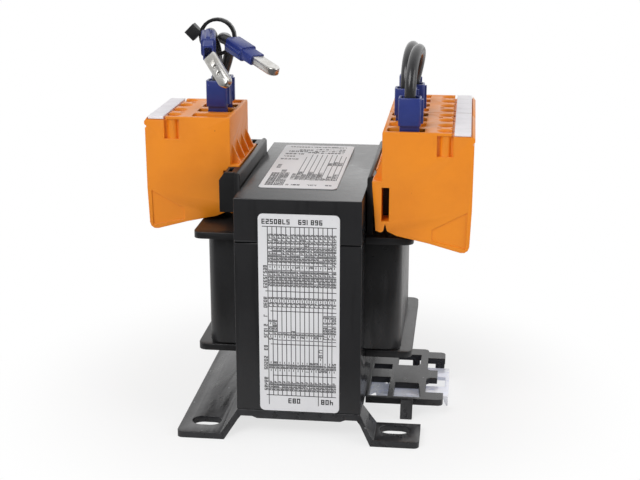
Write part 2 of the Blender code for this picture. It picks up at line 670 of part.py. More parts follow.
def make_clip_plate():
    """The pierced plate under the core: it hooks one rail lip and guides the latch for the other."""
    inner = FIT - ramp_underside(CLIP_TOP)
    plan = [
        (inner, -CLIP_HALF + 4 * MM),
        (SIDE, -CLIP_HALF + 4 * MM),
        (SIDE, -CLIP_HALF),
        (CLIP_REACH, -CLIP_HALF),
        (CLIP_REACH, CLIP_HALF),
        (CROSS_X + CROSS_BAR, CLIP_HALF),
        (CROSS_X + CROSS_BAR, CLIP_HALF + REAR_EAR),
        (RIB_X, CLIP_HALF + REAR_EAR),
        (RIB_X, CLIP_HALF - 4 * MM),
        (inner, CLIP_HALF - 4 * MM),
    ]
    radii = [0, 0, 0, 1.0 * MM, 1.0 * MM, 0, 1.0 * MM, 0, 0, 0]
    body = prism("rail_clip_plate", [rounded(plan, radii)], "XY", CLIP_BOTTOM, CLIP_TOP)
    for name, x0, y0, x1, y1 in clip_windows():
        cut(body, box(name, (x0, y0, CLIP_BOTTOM - MM), (x1, y1, CLIP_TOP + MM)))
    lip_edge = RAIL_X - RAIL_WIDTH / 2 - FIT
    outer = lip_edge - HOOK_WEB
    hook_top = CLIP_BOTTOM - RAIL_LIP - FIT
    hook = [
        (inner + SHEET, CLIP_TOP - MM),
        (inner, CLIP_TOP - MM),
        (outer, CLIP_BOTTOM),
        (outer, hook_top - HOOK_WEB),
        (lip_edge + HOOK_DEPTH, hook_top - HOOK_WEB),
        (lip_edge + HOOK_DEPTH, hook_top - 0.3 * MM),
        (lip_edge, hook_top),
        (lip_edge, CLIP_BOTTOM),
        (inner + SHEET, CLIP_BOTTOM + 0.5 * MM),
    ]
    for end in (-1, 1):
        tag = "front" if end < 0 else "rear"
        y0, y1 = sorted((end * 2 * MM, end * (2 * MM + HOOK_LENGTH)))
        fuse(body, prism("rail_hook_" + tag, [hook], "XZ", y0, y1))
        near = end * (LATCH_HALF + FIT)
        far = end * (LATCH_HALF + FIT + CLAW_WIDTH)
        under = LATCH_BOTTOM - FIT
        claw = [
            (far, CLIP_BOTTOM + MM),
            (far, under - 0.9 * MM),
            (end * (LATCH_HALF - CLAW_WIDTH), under - 0.9 * MM),
            (end * (LATCH_HALF - CLAW_WIDTH), under),
            (near, under),
            (near, CLIP_BOTTOM + MM),
        ]
        fuse(body, prism("latch_claw_" + tag, [claw], "YZ", CLAW_START, CLAW_START + CLAW_LENGTH))
    ear = box(
        "rear_guide_leg",
        (CLIP_REACH - 3.2 * MM, CLIP_HALF - CLIP_BAR, LATCH_BOTTOM),
        (CLIP_REACH - 0.2 * MM, CLIP_HALF - 0.4 * MM, CLIP_BOTTOM + MM),
    )
    fuse(body, ear)
    spring_stop = box(
        "spring_stop",
        (SPRING_TAB_X, -SPRING_WINDOW_HALF + FIT, LATCH_BOTTOM - 0.6 * MM),
        (SPRING_TAB_X + TAB_THICKNESS, SPRING_WINDOW_HALF - FIT, CLIP_BOTTOM + MM),
    )
    fuse(body, spring_stop)
    front = -CLIP_HALF
    tab = [
        (front + MM, CLIP_TOP - 0.2 * MM),
        (front - 0.4 * MM, CLIP_TOP - 0.2 * MM),
        (front - TAB_REACH, 0.4 * MM),
        (front - TAB_REACH + TAB_THICKNESS, 0.4 * MM),
        (front + MM, CLIP_BOTTOM + 0.3 * MM),
    ]
    fuse(body, prism("front_tab", [tab], "YZ", TAB_X - TAB_WIDTH / 2, TAB_X + TAB_WIDTH / 2))
    for i, end in enumerate((-1, 1)):
        hole = rod(
            f"clip_rivet_hole_{i + 1}", RIVET_RADIUS + FIT / 2, (-RIVET_X * end, 0, 0), (-RIVET_X * end, 0, CORE_BOTTOM)
        )
        recess = rod(
            f"clip_rivet_recess_{i + 1}",
            RIVET_HEAD + FIT,
            (-RIVET_X * end, 0, 0),
            (-RIVET_X * end, 0, CLIP_BOTTOM + RIVET_HEAD_HEIGHT + FIT),
        )
        cut(body, hole, recess)
    finish(body, FRAME)


def make_rivets():
    """Two rivets hold the clip plate to the frame; both heads lie flush."""
    top = FRAME_TOP
    for i, end in enumerate((-1, 1)):
        x = -RIVET_X * end
        shank = rod(f"clip_rivet_{i + 1}", RIVET_RADIUS, (x, 0, CLIP_BOTTOM + 0.4 * MM), (x, 0, top - 0.4 * MM), 20)
        lower = rod(
            f"lower_head_{i + 1}", RIVET_HEAD, (x, 0, CLIP_BOTTOM), (x, 0, CLIP_BOTTOM + RIVET_HEAD_HEIGHT), 20
        )
        upper = rod(f"upper_head_{i + 1}", RIVET_HEAD, (x, 0, top - RIVET_HEAD_HEIGHT), (x, 0, top - LABEL_GAP), 20)
        fuse(shank, lower, upper)
        finish(shank, ZINC)


def make_latch():
    """The sprung slide: a flat plate with a hooked nose, a spring window, and an eye with a pull lip."""
    nose_end = LATCH_NOSE + LATCH_BITE
    drop = LATCH_JOGGLE
    path = [
        (LATCH_NOSE, LATCH_TOP - drop),
        (nose_end - 1.5 * MM, LATCH_TOP - drop),
        (nose_end, LATCH_TOP),
        (LATCH_REACH, LATCH_TOP),
    ]
    lip = [
        (LATCH_REACH - LATCH_THICKNESS, LATCH_BOTTOM + 0.2 * MM),
        (LATCH_REACH, LATCH_BOTTOM + 0.2 * MM),
        (LATCH_REACH, LATCH_TOP - LATCH_LIP_DROP),
        (LATCH_REACH - 0.5 * MM, LATCH_TOP - LATCH_LIP_DROP),
        (LATCH_REACH - LATCH_THICKNESS, LATCH_BOTTOM - 0.6 * MM),
    ]
    body = prism("rail_latch", [strip(path, LATCH_THICKNESS)], "XZ", -LATCH_HALF, LATCH_HALF)
    fuse(body, prism("pull_lip", [lip], "XZ", -LATCH_HALF, LATCH_HALF))
    spring_end = SPRING_TAB_X + TAB_THICKNESS + FIT
    cuts = (
        ("spring_window", SPRING_WINDOW_START, -SPRING_WINDOW_HALF, spring_end, SPRING_WINDOW_HALF),
        ("pull_eye", EYE_START, -EYE_HALF, LATCH_REACH - LATCH_THICKNESS, EYE_HALF),
        ("nose_gap", LATCH_NOSE - MM, -SPRING_WINDOW_HALF, nose_end - 2 * MM, SPRING_WINDOW_HALF),
    )
    for name, x0, y0, x1, y1 in cuts:
        cut(body, box(name, (x0, y0, LATCH_BOTTOM - 2 * MM), (x1, y1, LATCH_TOP + MM)))
    for end in (-1, 1):
        tag = "front" if end < 0 else "rear"
        shoulder = LATCH_HALF - 3 * MM
        y0, y1 = sorted((end * shoulder, end * (LATCH_HALF + MM)))
        low = (LATCH_NOSE - MM, y0, LATCH_BOTTOM - 3 * MM)
        cut(body, box("nose_shoulder_" + tag, low, (nose_end + MM, y1, LATCH_TOP + MM)))
    finish(body, ZINC)
    body.data.name = "rail_latch"


def make_spring():
    """A compression coil between the latch's window edge and the plate's tab."""
    mean = (SPRING_OUTER - SPRING_WIRE) / 2
    start = SPRING_WINDOW_START + FIT + SPRING_WIRE / 2
    end = SPRING_TAB_X - FIT - SPRING_WIRE / 2
    centre_z = LATCH_TOP - SPRING_OUTER / 2
    steps = SPRING_TURNS * 10
    points = []
    for i in range(steps + 1):
        angle = 2 * math.pi * SPRING_TURNS * i / steps
        x = start + (end - start) * i / steps
        points.append((x, mean * math.cos(angle), centre_z + mean * math.sin(angle)))
    tube("latch_spring", points, SPRING_WIRE, SPRING_STEEL, 1)


def block_profile():
    """The moulding's section, outwards from the core and up."""
    side = BLOCK_OUTER
    low = BLOCK_LOW_OUTER
    inner_low = BLOCK_LOW_INNER
    points = [
        (BLOCK_INNER, BLOCK_TOP),
        (BLOCK_INNER, SHELF_TOP),
        (LEG_INNER - 0.2 * MM, SHELF_TOP),
        (LEG_INNER - 0.2 * MM, SHELF_TOP - 1.2 * MM),
        (LEG_INNER + 0.9 * MM, inner_low + 0.4 * MM),
        (LEG_INNER + 2.3 * MM, inner_low - 0.1 * MM),
        (LEG_INNER + 3.1 * MM, inner_low + 0.3 * MM),
        (LEG_INNER + 3.6 * MM, inner_low + 2.6 * MM),
        (LEG_INNER + 4.2 * MM, inner_low + 0.3 * MM),
        (LEG_INNER + 7.0 * MM, inner_low - 1.0 * MM),
        (side - 12.5 * MM, low + 2.9 * MM),
        (side - 0.8 * MM, low - 0.3 * MM),
        (side - 0.3 * MM, low + 13 * MM),
        (side - 0.2 * MM, BLOCK_TOP - 3.6 * MM),
        (side - 0.7 * MM, BLOCK_TOP - 3.1 * MM),
        (side, BLOCK_TOP - 2.4 * MM),
        (side, BLOCK_TOP - 1.6 * MM),
        (side - 1.2 * MM, BLOCK_TOP),
    ]
    radii = [0.3, 0, 0, 0, 0, 0, 0, 0, 0, 0, 0, 2.0, 0, 0, 0, 0.2, 0.2, 0.3]
    return rounded(points, [r * MM for r in radii])


def pole_places():
    return [(i - (POLES - 1) / 2) * POLE_PITCH for i in range(POLES)]


def block_mesh():
    """One four-pole housing at +X, centred in Y: the sockets, entries and pockets are cut from it."""
    half = BLOCK_LENGTH / 2
    body = prism("block", [block_profile()], "XZ", -half, half)
    slot = [
        (LEG_INNER + 2.5 * MM, BLOCK_LOW_INNER + 3.2 * MM),
        (LEG_INNER + 4.7 * MM, BLOCK_LOW_INNER + 3.2 * MM),
        (LEG_INNER + 4.7 * MM, SHELF_TOP - 1.8 * MM),
        (LEG_INNER + 2.5 * MM, SHELF_TOP - 1.8 * MM),
    ]
    cut(body, prism("leg_slot", [slot], "XZ", -half - MM, half + MM))
    seat_low = (MARKER_START - MARKER_GROOVE, -half - MM, BLOCK_TOP - MARKER_SEAT)
    cut(body, box("marker_seat", seat_low, (MARKER_END + FIT, half + MM, BLOCK_TOP + MM)))
    for i, y in enumerate(pole_places()):
        gusset = [
            (BLOCK_INNER + 0.5 * MM, SHELF_TOP + GUSSET_RISE),
            (BLOCK_INNER, SHELF_TOP + GUSSET_RISE),
            (LEG_INNER, SHELF_TOP),
            (LEG_INNER, SHELF_TOP - 0.5 * MM),
            (BLOCK_INNER + 0.5 * MM, SHELF_TOP - 0.5 * MM),
        ]
        fuse(body, prism(f"gusset_{i + 1}", [gusset], "XZ", y - GUSSET / 2, y + GUSSET / 2))
        socket = rounded_box((SOCKET_END - SOCKET_START) / 2, SOCKET_WIDTH / 2, 0.4 * MM, 1, (SOCKET_X, y))
        cut(body, prism(f"socket_{i + 1}", [socket], "XY", SOCKET_FLOOR, BLOCK_TOP + MM))
        cut(body, rod(f"entry_{i + 1}", ENTRY_RADIUS, (ENTRY_X, y, BLOCK_TOP - ENTRY_DEPTH), (ENTRY_X, y, BLOCK_TOP + MM), 20))
        funnel = rod(
            f"funnel_{i + 1}",
            ENTRY_RADIUS - 0.1 * MM,
            (ENTRY_X, y, BLOCK_TOP - ENTRY_FUNNEL - 0.1 * MM),
            (ENTRY_X, y, BLOCK_TOP + 0.1 * MM),
            20,
            ENTRY_RADIUS + ENTRY_FUNNEL + 0.1 * MM,
        )
        cut(body, funnel)
    for pair in (-1, 1):
        for reach in (-1, 1):
            x = ENTRY_X + reach * NOTCH_SPREAD
            y = pair * POLE_PITCH
            low = (x - NOTCH / 2, y - NOTCH / 2, BLOCK_TOP - NOTCH_DEPTH)
            cut(body, box(f"notch_{pair}_{reach}", low, (x + NOTCH / 2, y + NOTCH / 2, BLOCK_TOP + MM)))
    for end in (-1, 1):
        tag = "front" if end < 0 else "rear"
        face = end * half
        y0, y1 = sorted((face - end * POCKET_DEPTH, face + end * MM))
        top = BLOCK_TOP - POCKET_TOP
        low = (ENTRY_X - POCKET_HALF, y0, top - POCKET_HEIGHT)
        pocket = box("pocket_" + tag, low, (ENTRY_X + POCKET_HALF, y1, top))
        column_y = face - end * (POCKET_DEPTH + 0.7 * MM)
        column = rod(
            "column_" + tag,
            1.7 * MM,
            (ENTRY_X, column_y, top - POCKET_HEIGHT - 0.2 * MM),
            (ENTRY_X, column_y, top + 0.2 * MM),
            20,
        )
        hollow = new_object("pocket_around_column_" + tag, baked(cut(pocket, column), "pocket"))
        cut(body, hollow)
        low = BLOCK_LOW_OUTER
        panel = [
            (BLOCK_OUTER - 11.6 * MM, low + 7.0 * MM),
            (BLOCK_OUTER - 1.6 * MM, low + 12.4 * MM),
            (BLOCK_OUTER - 1.8 * MM, low + 1.4 * MM),
            (BLOCK_OUTER - 11.6 * MM, low + 3.6 * MM),
        ]
        y0, y1 = sorted((face - end * PANEL_DEPTH, face + end * MM))
        cut(body, prism("panel_" + tag, [panel], "XZ", y0, y1))
    return baked(body, "terminal_block")


def make_blocks():
    """Two housings side by side on the right and one on the left, with their markers and contacts."""
    shape = block_mesh()
    marker = marker_mesh()
    clamp = clamp_mesh()
    places = (
        ("left", 0.0, math.pi, None),
        ("right_front", -BLOCK_PITCH / 2, 0.0, -1),
        ("right_rear", BLOCK_PITCH / 2, 0.0, 1),
    )
    count = 0
    for tag, y, turn, post_end in places:
        spin = Matrix.Translation((0, y, 0)) @ Matrix.Rotation(turn, 4, "Z")
        housing = new_object("terminal_block_" + tag, shape if turn else shape.copy())
        housing.matrix_world = spin
        finish(housing, HOUSING)
        if post_end:
            y0, y1 = sorted((post_end * (POST_INNER_END - FIT), post_end * (POST_HALF_OUT + FIT)))
            low = (LEG_INNER - 2 * MM, y0, WALL_TOP - POST_DROP - FIT)
            reach = WALL_X + WALL + POST_WIDTH + FIT
            cut(housing, box("post_pocket_" + tag, low, (reach, y1, WALL_TOP + FIT)))
        strip_obj = new_object("marker_strip_" + tag, marker)
        strip_obj.matrix_world = spin
        finish(strip_obj, MARKER)
        for place in pole_places():
            count += 1
            contact = new_object(f"clamp_contact_{count:02d}", clamp)
            contact.matrix_world = spin @ Matrix.Translation((SOCKET_X, place, SOCKET_FLOOR + FIT))
            finish(contact, TIN)


def marker_mesh():
    """A strip in the seat along the housing's outer top edge, scored between its poles."""
    half = BLOCK_LENGTH / 2 - FIT
    low = BLOCK_TOP - MARKER_SEAT + FIT / 2
    body = box("marker", (MARKER_START, -half, low), (MARKER_END, half, low + MARKER_THICKNESS))
    for i in range(1, POLES):
        y = (i - POLES / 2) * POLE_PITCH
        groove = box(
            f"score_{i}",
            (MARKER_START - MM, y - 0.2 * MM, low + MARKER_THICKNESS - 0.3 * MM),
            (MARKER_END + MM, y + 0.2 * MM, low + MARKER_THICKNESS + MM),
        )
        cut(body, groove)
    return baked(body, "marker_strip")


def clamp_mesh():
    """A bent channel at the bottom of a socket: a floor and two leaves that grip the plug's tongue."""
    inner = TONGUE_THICKNESS / 2 + FIT
    outer = inner + CLAMP_SHEET
    outline = [
        (-outer, 0.0),
        (outer, 0.0),
        (outer, CLAMP_HEIGHT),
        (inner, CLAMP_HEIGHT),
        (inner, CLAMP_SHEET),
        (-inner, CLAMP_SHEET),
        (-inner, CLAMP_HEIGHT),
        (-outer, CLAMP_HEIGHT),
    ]
    return baked(prism("clamp", [outline], "YZ", -CLAMP_LENGTH / 2, CLAMP_LENGTH / 2), "clamp_contact")


def plug_mesh():
    """A jumper plug, its wire end at the origin and its neck towards -Z."""
    sleeve = rounded_box(PLUG_WIDTH / 2, PLUG_THICKNESS / 2, PLUG_CORNER, 3)
    body = prism("plug", [sleeve], "XY", -SLEEVE, 0.0)
    neck = rounded_box(NECK_WIDTH / 2, NECK_THICKNESS / 2, 0.6 * MM, 2)
    fuse(body, prism("neck", [neck], "XY", -SLEEVE - NECK, -SLEEVE + MM))
    wing_low = (PLUG_WIDTH / 2 - MM, -WING_WIDTH / 2, -SLEEVE + 0.5 * MM)
    fuse(body, box("wing", wing_low, (PLUG_WIDTH / 2 + WING, WING_WIDTH / 2, -0.5 * MM)))
    mouth = rounded_box(
        PLUG_WIDTH / 2 - SLEEVE_WALL, PLUG_THICKNESS / 2 - SLEEVE_WALL, PLUG_CORNER - 0.4 * MM, 3
    )
    cut(body, prism("mouth", [mouth], "XY", -SLEEVE_DEPTH, MM))
    seat = rounded_box(TONGUE_WIDTH / 2 + FIT, TONGUE_THICKNESS / 2 + FIT, 0.4 * MM, 1)
    low = -SLEEVE - NECK
    cut(body, prism("tongue_seat", [seat], "XY", low - MM, low + TONGUE_SEAT + FIT))
    return baked(body, "jumper_plug")


def tongue_mesh():
    """The tinned contact: a flat bar with a round end and two dimples on its face."""
    low = -SLEEVE - NECK
    tip = low - TONGUE_LENGTH + TONGUE_SEAT
    radius = TONGUE_WIDTH / 2
    outline = [(-radius, low + TONGUE_SEAT)]
    outline += arc((0.0, tip + radius), radius, 180, 360, 8)
    outline += [(radius, low + TONGUE_SEAT)]
    body = prism("tongue", [outline], "XZ", -TONGUE_THICKNESS / 2, TONGUE_THICKNESS / 2, 0.4 * MM)
    for i, z in enumerate((low - 2.4 * MM, low - 5.2 * MM)):
        face = -TONGUE_THICKNESS / 2
        cut(body, rod(f"dimple_{i + 1}", TONGUE_DIMPLE, (0, face - MM, z), (0, face + 0.5 * MM, z), 12))
    return baked(body, "jumper_tongue")


def pole_y(number):
    """The place in Y of one of the right-hand poles, counted 1 to 8 from the front."""
    return (number - POLES - 0.5) * POLE_PITCH


def place_plug(tag, shapes, frame, contact_frame=None):
    names = ("jumper_plug_" + tag, "jumper_contact_" + tag)
    frames = (frame, contact_frame or frame)
    for name, mesh, look, where in zip(names, shapes, (PLUG, TIN), frames):
        piece = new_object(name, mesh)
        piece.matrix_world = where
        finish(piece, look)


def facing(aim, wide):
    """A turn that points a plug's neck along aim and its wide side as nearly along wide as it can."""
    up = -aim
    across = (wide - wide.dot(up) * up).normalized()
    thin = up.cross(across)
    return Matrix((across, thin, up)).transposed().to_4x4()


# Free jumpers on the left, in millimetres: where each lead runs between its plugs,
# and the mouth of its free plug with the way that plug points
LEAD_SEAT = PLUG_TOP - SLEEVE_DEPTH + FIT
FRONT_ROUTE = (
    (-29.2, -4.0, 97.5), (-29.2, -3.9, 101.4), (-29.7, -0.9, 105.0), (-30.6, 2.9, 109.0),
    (-31.5, 3.4, 112.4), (-31.8, 1.0, 114.7),
)
REAR_ROUTE = (
    (-29.2, 4.0, 97.5), (-28.9, 4.3, 101.5), (-27.6, 5.0, 106.0), (-26.8, 4.8, 110.0),
    (-27.3, 2.6, 112.9), (-27.7, -1.6, 113.6),
)
FRONT_MOUTH = Vector((-31.4, -5.0, 113.9))
FRONT_AIM = Vector((0.18, -0.96, -0.22)).normalized()
REAR_MOUTH = Vector((-23.9, -5.5, 112.4))
REAR_AIM = Vector((0.69, -0.67, -0.27)).normalized()
BENT_AIM = Vector((0.53, -0.60, -0.60)).normalized()


def make_right_jumpers(shapes):
    """Two jumpers, each an arch of lead between two plugs; they cross, so one leans outwards."""
    leads = ((1, 4, 0.9 * MM, 3.3 * MM), (3, 6, -1.1 * MM, 0.4 * MM))
    number = 0
    for i, (first, last, shift, lean) in enumerate(leads):
        x = SOCKET_X + shift
        y0, y1 = pole_y(first), pole_y(last)
        for y in (y0, y1):
            number += 1
            place_plug(f"right_{number}", shapes, Matrix.Translation((x, y, PLUG_TOP)))
        radius = (y1 - y0) / 2
        points = [Vector((x, y0, LEAD_SEAT)), Vector((x, y0, (LEAD_SEAT + LOOP_TOP - radius) / 2))]
        for k in range(17):
            angle = math.pi * k / 16
            lift = math.sin(angle)
            y = (y0 + y1) / 2 - radius * math.cos(angle)
            points.append(Vector((x + lean * lift, y, LOOP_TOP - radius + radius * lift)))
        points += [Vector((x, y1, (LEAD_SEAT + LOOP_TOP - radius) / 2)), Vector((x, y1, LEAD_SEAT))]
        tube(f"jumper_lead_right_{i + 1}", points, LEAD, RUBBER)


def make_free_jumpers(shapes):
    """Two jumpers plugged in at the left whose other plugs hang free, side by side, from the tie."""
    sides = (
        ("front", FRONT_ROUTE, FRONT_MOUTH, FRONT_AIM, Vector((0, 0, 1))),
        ("rear", REAR_ROUTE, REAR_MOUTH, REAR_AIM, Vector((-1, -1, 0))),
    )
    for tag, places, mouth, aim, wide in sides:
        points = [Vector(place) * MM for place in places]
        points[0].z = LEAD_SEAT
        place_plug("left_" + tag, shapes, Matrix.Translation((points[0].x, points[0].y, PLUG_TOP)))
        mouth = mouth * MM
        points += [mouth - aim * 2 * MM, mouth + aim * (SLEEVE_DEPTH - FIT)]
        tube("jumper_lead_left_" + tag, smooth_route(points, 30), LEAD, RUBBER)
        frame = Matrix.Translation(mouth) @ facing(aim, wide)
        contact_frame = None
        if tag == "front":
            root = mouth + aim * (SLEEVE + NECK + FIT) + BENT_AIM * TONGUE_WIDTH / 3
            start = Matrix.Translation((0, 0, SLEEVE + NECK - TONGUE_SEAT))
            contact_frame = Matrix.Translation(root) @ facing(BENT_AIM, Vector((0.7, 0, 0.7))) @ start
        place_plug("free_" + tag, shapes, frame, contact_frame)


def make_jumpers():
    shapes = (plug_mesh(), tongue_mesh())
    make_right_jumpers(shapes)
    make_free_jumpers(shapes)


def make_tie():
    """A cable tie round both free leads: a band with its square head set cornerwise."""
    centre = (-29.3 * MM, 114.0 * MM)
    y = -1.2 * MM
    outer = TIE_RADIUS + TIE_THICKNESS
    ring = [arc(centre, outer, 0, 345, 23), list(reversed(arc(centre, TIE_RADIUS, 0, 345, 23)))]
    body = prism("cable_tie", ring, "XZ", y - TIE_WIDTH / 2, y + TIE_WIDTH / 2)
    half = TIE_HEAD / math.sqrt(2)
    turn = math.radians(170)
    reach = TIE_RADIUS + half + 0.15 * MM
    x = centre[0] + reach * math.cos(turn)
    z = centre[1] + reach * math.sin(turn)
    diamond = [(x + half, z), (x, z + half), (x - half, z), (x, z - half)]
    fuse(body, prism("tie_head", [diamond], "XZ", y - TIE_HEAD / 2, y + TIE_HEAD / 2))
    finish(body, NYLON)


def make_labels():
    """Two bare printed films: one upright on the front face, one on the top yoke."""
    middle = CORE_TOP - 4.2 * MM - FRONT_LABEL_HEIGHT / 2
    shape = rounded_box(FRONT_LABEL_WIDTH / 2, FRONT_LABEL_HEIGHT / 2, LABEL_CORNER, 4, (0.4 * MM, middle))
    outer = -FACE - LABEL_GAP
    finish(prism("front_label", [shape], "XZ", outer - LABEL, outer), PAPER)
    shape = rounded_box(TOP_LABEL_WIDTH / 2, TOP_LABEL_LENGTH / 2, LABEL_CORNER, 4, (TOP_LABEL_X, TOP_LABEL_Y))
    low = CORE_TOP + LABEL_GAP
    finish(prism("top_label", [shape], "XY", low, low + LABEL), PAPER)


def main():
    make_core()
    make_bobbin()
    make_windings()
    make_frame()
    make_clip_plate()
    make_rivets()
    make_latch()
    make_spring()
    make_blocks()
    make_jumpers()
    make_tie()
    make_labels()


main()
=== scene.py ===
import math

import bmesh
import bpy
import numpy as np
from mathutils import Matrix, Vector


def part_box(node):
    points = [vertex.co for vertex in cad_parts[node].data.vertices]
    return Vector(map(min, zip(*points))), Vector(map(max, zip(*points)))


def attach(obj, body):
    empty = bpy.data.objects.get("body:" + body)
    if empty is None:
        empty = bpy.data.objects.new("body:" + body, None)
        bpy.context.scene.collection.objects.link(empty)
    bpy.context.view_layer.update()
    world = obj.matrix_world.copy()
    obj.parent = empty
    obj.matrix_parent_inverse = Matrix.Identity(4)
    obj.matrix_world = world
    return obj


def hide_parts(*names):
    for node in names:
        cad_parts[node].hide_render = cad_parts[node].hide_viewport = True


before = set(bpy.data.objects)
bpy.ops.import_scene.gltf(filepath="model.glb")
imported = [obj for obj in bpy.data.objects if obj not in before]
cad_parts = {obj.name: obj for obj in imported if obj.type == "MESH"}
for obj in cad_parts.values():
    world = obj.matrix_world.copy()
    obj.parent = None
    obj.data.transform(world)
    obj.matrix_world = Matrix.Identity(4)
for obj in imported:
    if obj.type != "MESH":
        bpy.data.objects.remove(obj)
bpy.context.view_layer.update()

bl_info = {
    "name": "Mains transformer looks",
    "version": (1, 0, 0),
    "blender": (4, 5, 0),
    "location": "3D View > Sidebar > Transformer",
    "description": "Finishes a rail-mounted mains transformer around its fixed frame",
    "category": "Object",
}

MM = 0.001
BODY = "transformer"
LATCH = "latch"
FLOOR_HALF = 3.0

# Routes of the two free jumper leads, the points that the solids follow, in millimetres
LEAD_SEAT = 97.5
SLEEVE_REACH = 3.7
FRONT_ROUTE = (
    (-29.2, -4.0, LEAD_SEAT), (-29.2, -3.9, 101.4), (-29.7, -0.9, 105.0),
    (-30.6, 2.9, 109.0), (-31.5, 3.4, 112.4), (-31.8, 1.0, 114.7),
)
REAR_ROUTE = (
    (-29.2, 4.0, LEAD_SEAT), (-28.9, 4.3, 101.5), (-27.6, 5.0, 106.0),
    (-26.8, 4.8, 110.0), (-27.3, 2.6, 112.9), (-27.7, -1.6, 113.6),
)
FRONT_MOUTH, FRONT_AIM = (-31.4, -5.0, 113.9), (0.18, -0.96, -0.22)
REAR_MOUTH, REAR_AIM = (-23.9, -5.5, 112.4), (0.69, -0.67, -0.27)

# The foot of the held leads' arches, and each lead's X, lean, sway, rise, first and last Y, in millimetres
HELD_FOOT = 101.2
HELD_LEADS = ((30.85, 1.6, 1.3, 11.8, -28.0, -4.0), (28.85, 1.1, 1.1, 10.5, -12.0, 12.0))

# Shares of the solids' width that the plugs keep
FREE_PLUG_SHARE = 0.74
HELD_PLUG_SHARE = 0.88

# Below a height and beyond a Y, the ends of the bobbin's lower flange are drawn in by so much, in millimetres
FLANGE_BELOW, FLANGE_BEYOND, FLANGE_DRAWN = 25.0, 26.0, 3.2

# The core's butt joint in millimetres: how near its level its corners lie, its groove's depth and the gap that stays
JOINT_NEAR, JOINT_GROOVE, JOINT_GAP = 0.3, 1.0, 0.01

# Corners of a copied solid nearer than this are one, and faces that turn by less than this are one
MERGED_WITHIN = 0.004 * MM
FLAT_WITHIN = math.radians(0.6)

# The rail clip in millimetres: its plate's heights and plan, with the windows of the photograph
CLIP_LOW, CLIP_HIGH = 3.8, 5.8
CLIP_LEFT_X = -17.17
CLIP_PLAN = (
    (CLIP_LEFT_X, -15.6), (18.5, -15.6), (18.5, -20.4), (41.0, -20.4), (42.0, -20.0), (42.4, -19.0), (42.4, -14.4),
    (36.8, -14.4), (36.8, -3.8), (37.7, -2.8), (40.2, -2.8), (40.2, 4.0), (37.7, 4.0), (36.8, 5.0), (36.8, 14.4),
    (42.4, 14.4), (42.4, 19.0), (42.0, 20.0), (41.0, 20.4), (36.8, 20.4), (36.8, 21.4), (36.4, 22.4), (35.4, 22.8),
    (25.2, 22.8), (25.2, 15.6), (CLIP_LEFT_X, 15.6),
)
CLIP_WINDOWS = (
    ((19.3, -18.7), (25.2, -18.7), (25.2, -3.6), (19.3, -3.6)),
    ((27.0, -18.7), (35.3, -18.7), (34.4, -7.6), (27.0, -7.6)),
    ((19.3, 3.6), (25.2, 3.6), (25.2, 7.6), (19.3, 7.6)),
    ((27.0, 7.6), (33.5, 7.6), (34.4, 9.3), (34.4, 17.0), (27.0, 17.0)),
)
# Where its rivets stand in X, and the radius of their holes
RIVET_PLACES, RIVET_HOLE = (9.0, -9.0), 3.7
# Its hooks in XZ, with their starts and ends in Y
CLIP_HOOK = (
    (-15.2, 4.8), (-17.1, 4.8), (-18.3, 3.8), (-18.3, 1.4), (-14.7, 1.4),
    (-14.7, 2.2), (-17.2, 2.5), (-17.2, 3.8), (-15.2, 4.3),
)
HOOK_SPANS = (-14.0, -2.0), (2.0, 14.0)
# Its right claw and its front tab in YZ, with their starts and ends in X
CLIP_CLAW = np.array(((13.6, 4.6), (13.6, 1.1), (10.3, 1.1), (10.3, 2.0), (12.1, 2.0), (12.1, 4.6)))
CLAW_SPAN = 35.1, 36.6
CLIP_TAB = (-20.0, 5.6), (-20.8, 5.6), (-24.0, 0.4), (-22.8, 0.4), (-20.0, 4.1)
TAB_SPAN = 29.45, 33.15
# Its two legs and its spring stop: low and high corners in XY, and the height that each hangs down to
LEG_TOP = 4.6
CLIP_LEGS = (39.2, 14.5, 42.2, 19.2, 2.3), (31.5, 17.1, 33.9, 18.7, 0.6), (32.4, -2.9, 33.6, 2.9, 1.7)

# Strokes of a plain seven-stroke numeral in a cell one unit high: low u, low v, high u, high v
STROKES = np.array((
    (0.00, 0.81, 0.60, 1.00), (0.41, 0.50, 0.60, 1.00), (0.41, 0.00, 0.60, 0.50), (0.00, 0.00, 0.60, 0.19),
    (0.00, 0.00, 0.19, 0.50), (0.00, 0.50, 0.19, 1.00), (0.00, 0.40, 0.60, 0.60),
))
# The strokes that each numeral has, from 0 to 9, and the dash
STROKES_OF = "1111110 0110000 1101101 1111001 0110011 1011011 1011111 1110000 1111111 1111011 0000001"
NUMERALS = np.array([[mark == "1" for mark in numeral] for numeral in STROKES_OF.split()])
DASH = 10

BLOCK_PLACES = "left", "right_front", "right_rear"


def length_property(name, description, default):
    return bpy.props.FloatProperty(
        name=name, description=description, default=default, unit="LENGTH", subtype="DISTANCE", precision=5
    )


def colour_property(name, description, default):
    return bpy.props.FloatVectorProperty(
        name=name, description=description, default=default, size=3, subtype="COLOR", min=0.0, max=1.0
    )


class CameraSettings(bpy.types.PropertyGroup):
    place: bpy.props.FloatVectorProperty(
        name="Place", description="Where the camera stands", size=3, subtype="TRANSLATION", unit="LENGTH",
        default=(0.04724, -0.38864, 0.16400), precision=5,
    )
    yaw: bpy.props.FloatProperty(
        name="Yaw", description="Turn to the left of straight ahead", subtype="ANGLE", default=0.1160, precision=4
    )
    pitch: bpy.props.FloatProperty(
        name="Pitch", description="Tilt below the horizon", subtype="ANGLE", default=0.2835, precision=4
    )
    lens: bpy.props.FloatProperty(name="Lens", description="Focal length", unit="CAMERA", default=72.27)


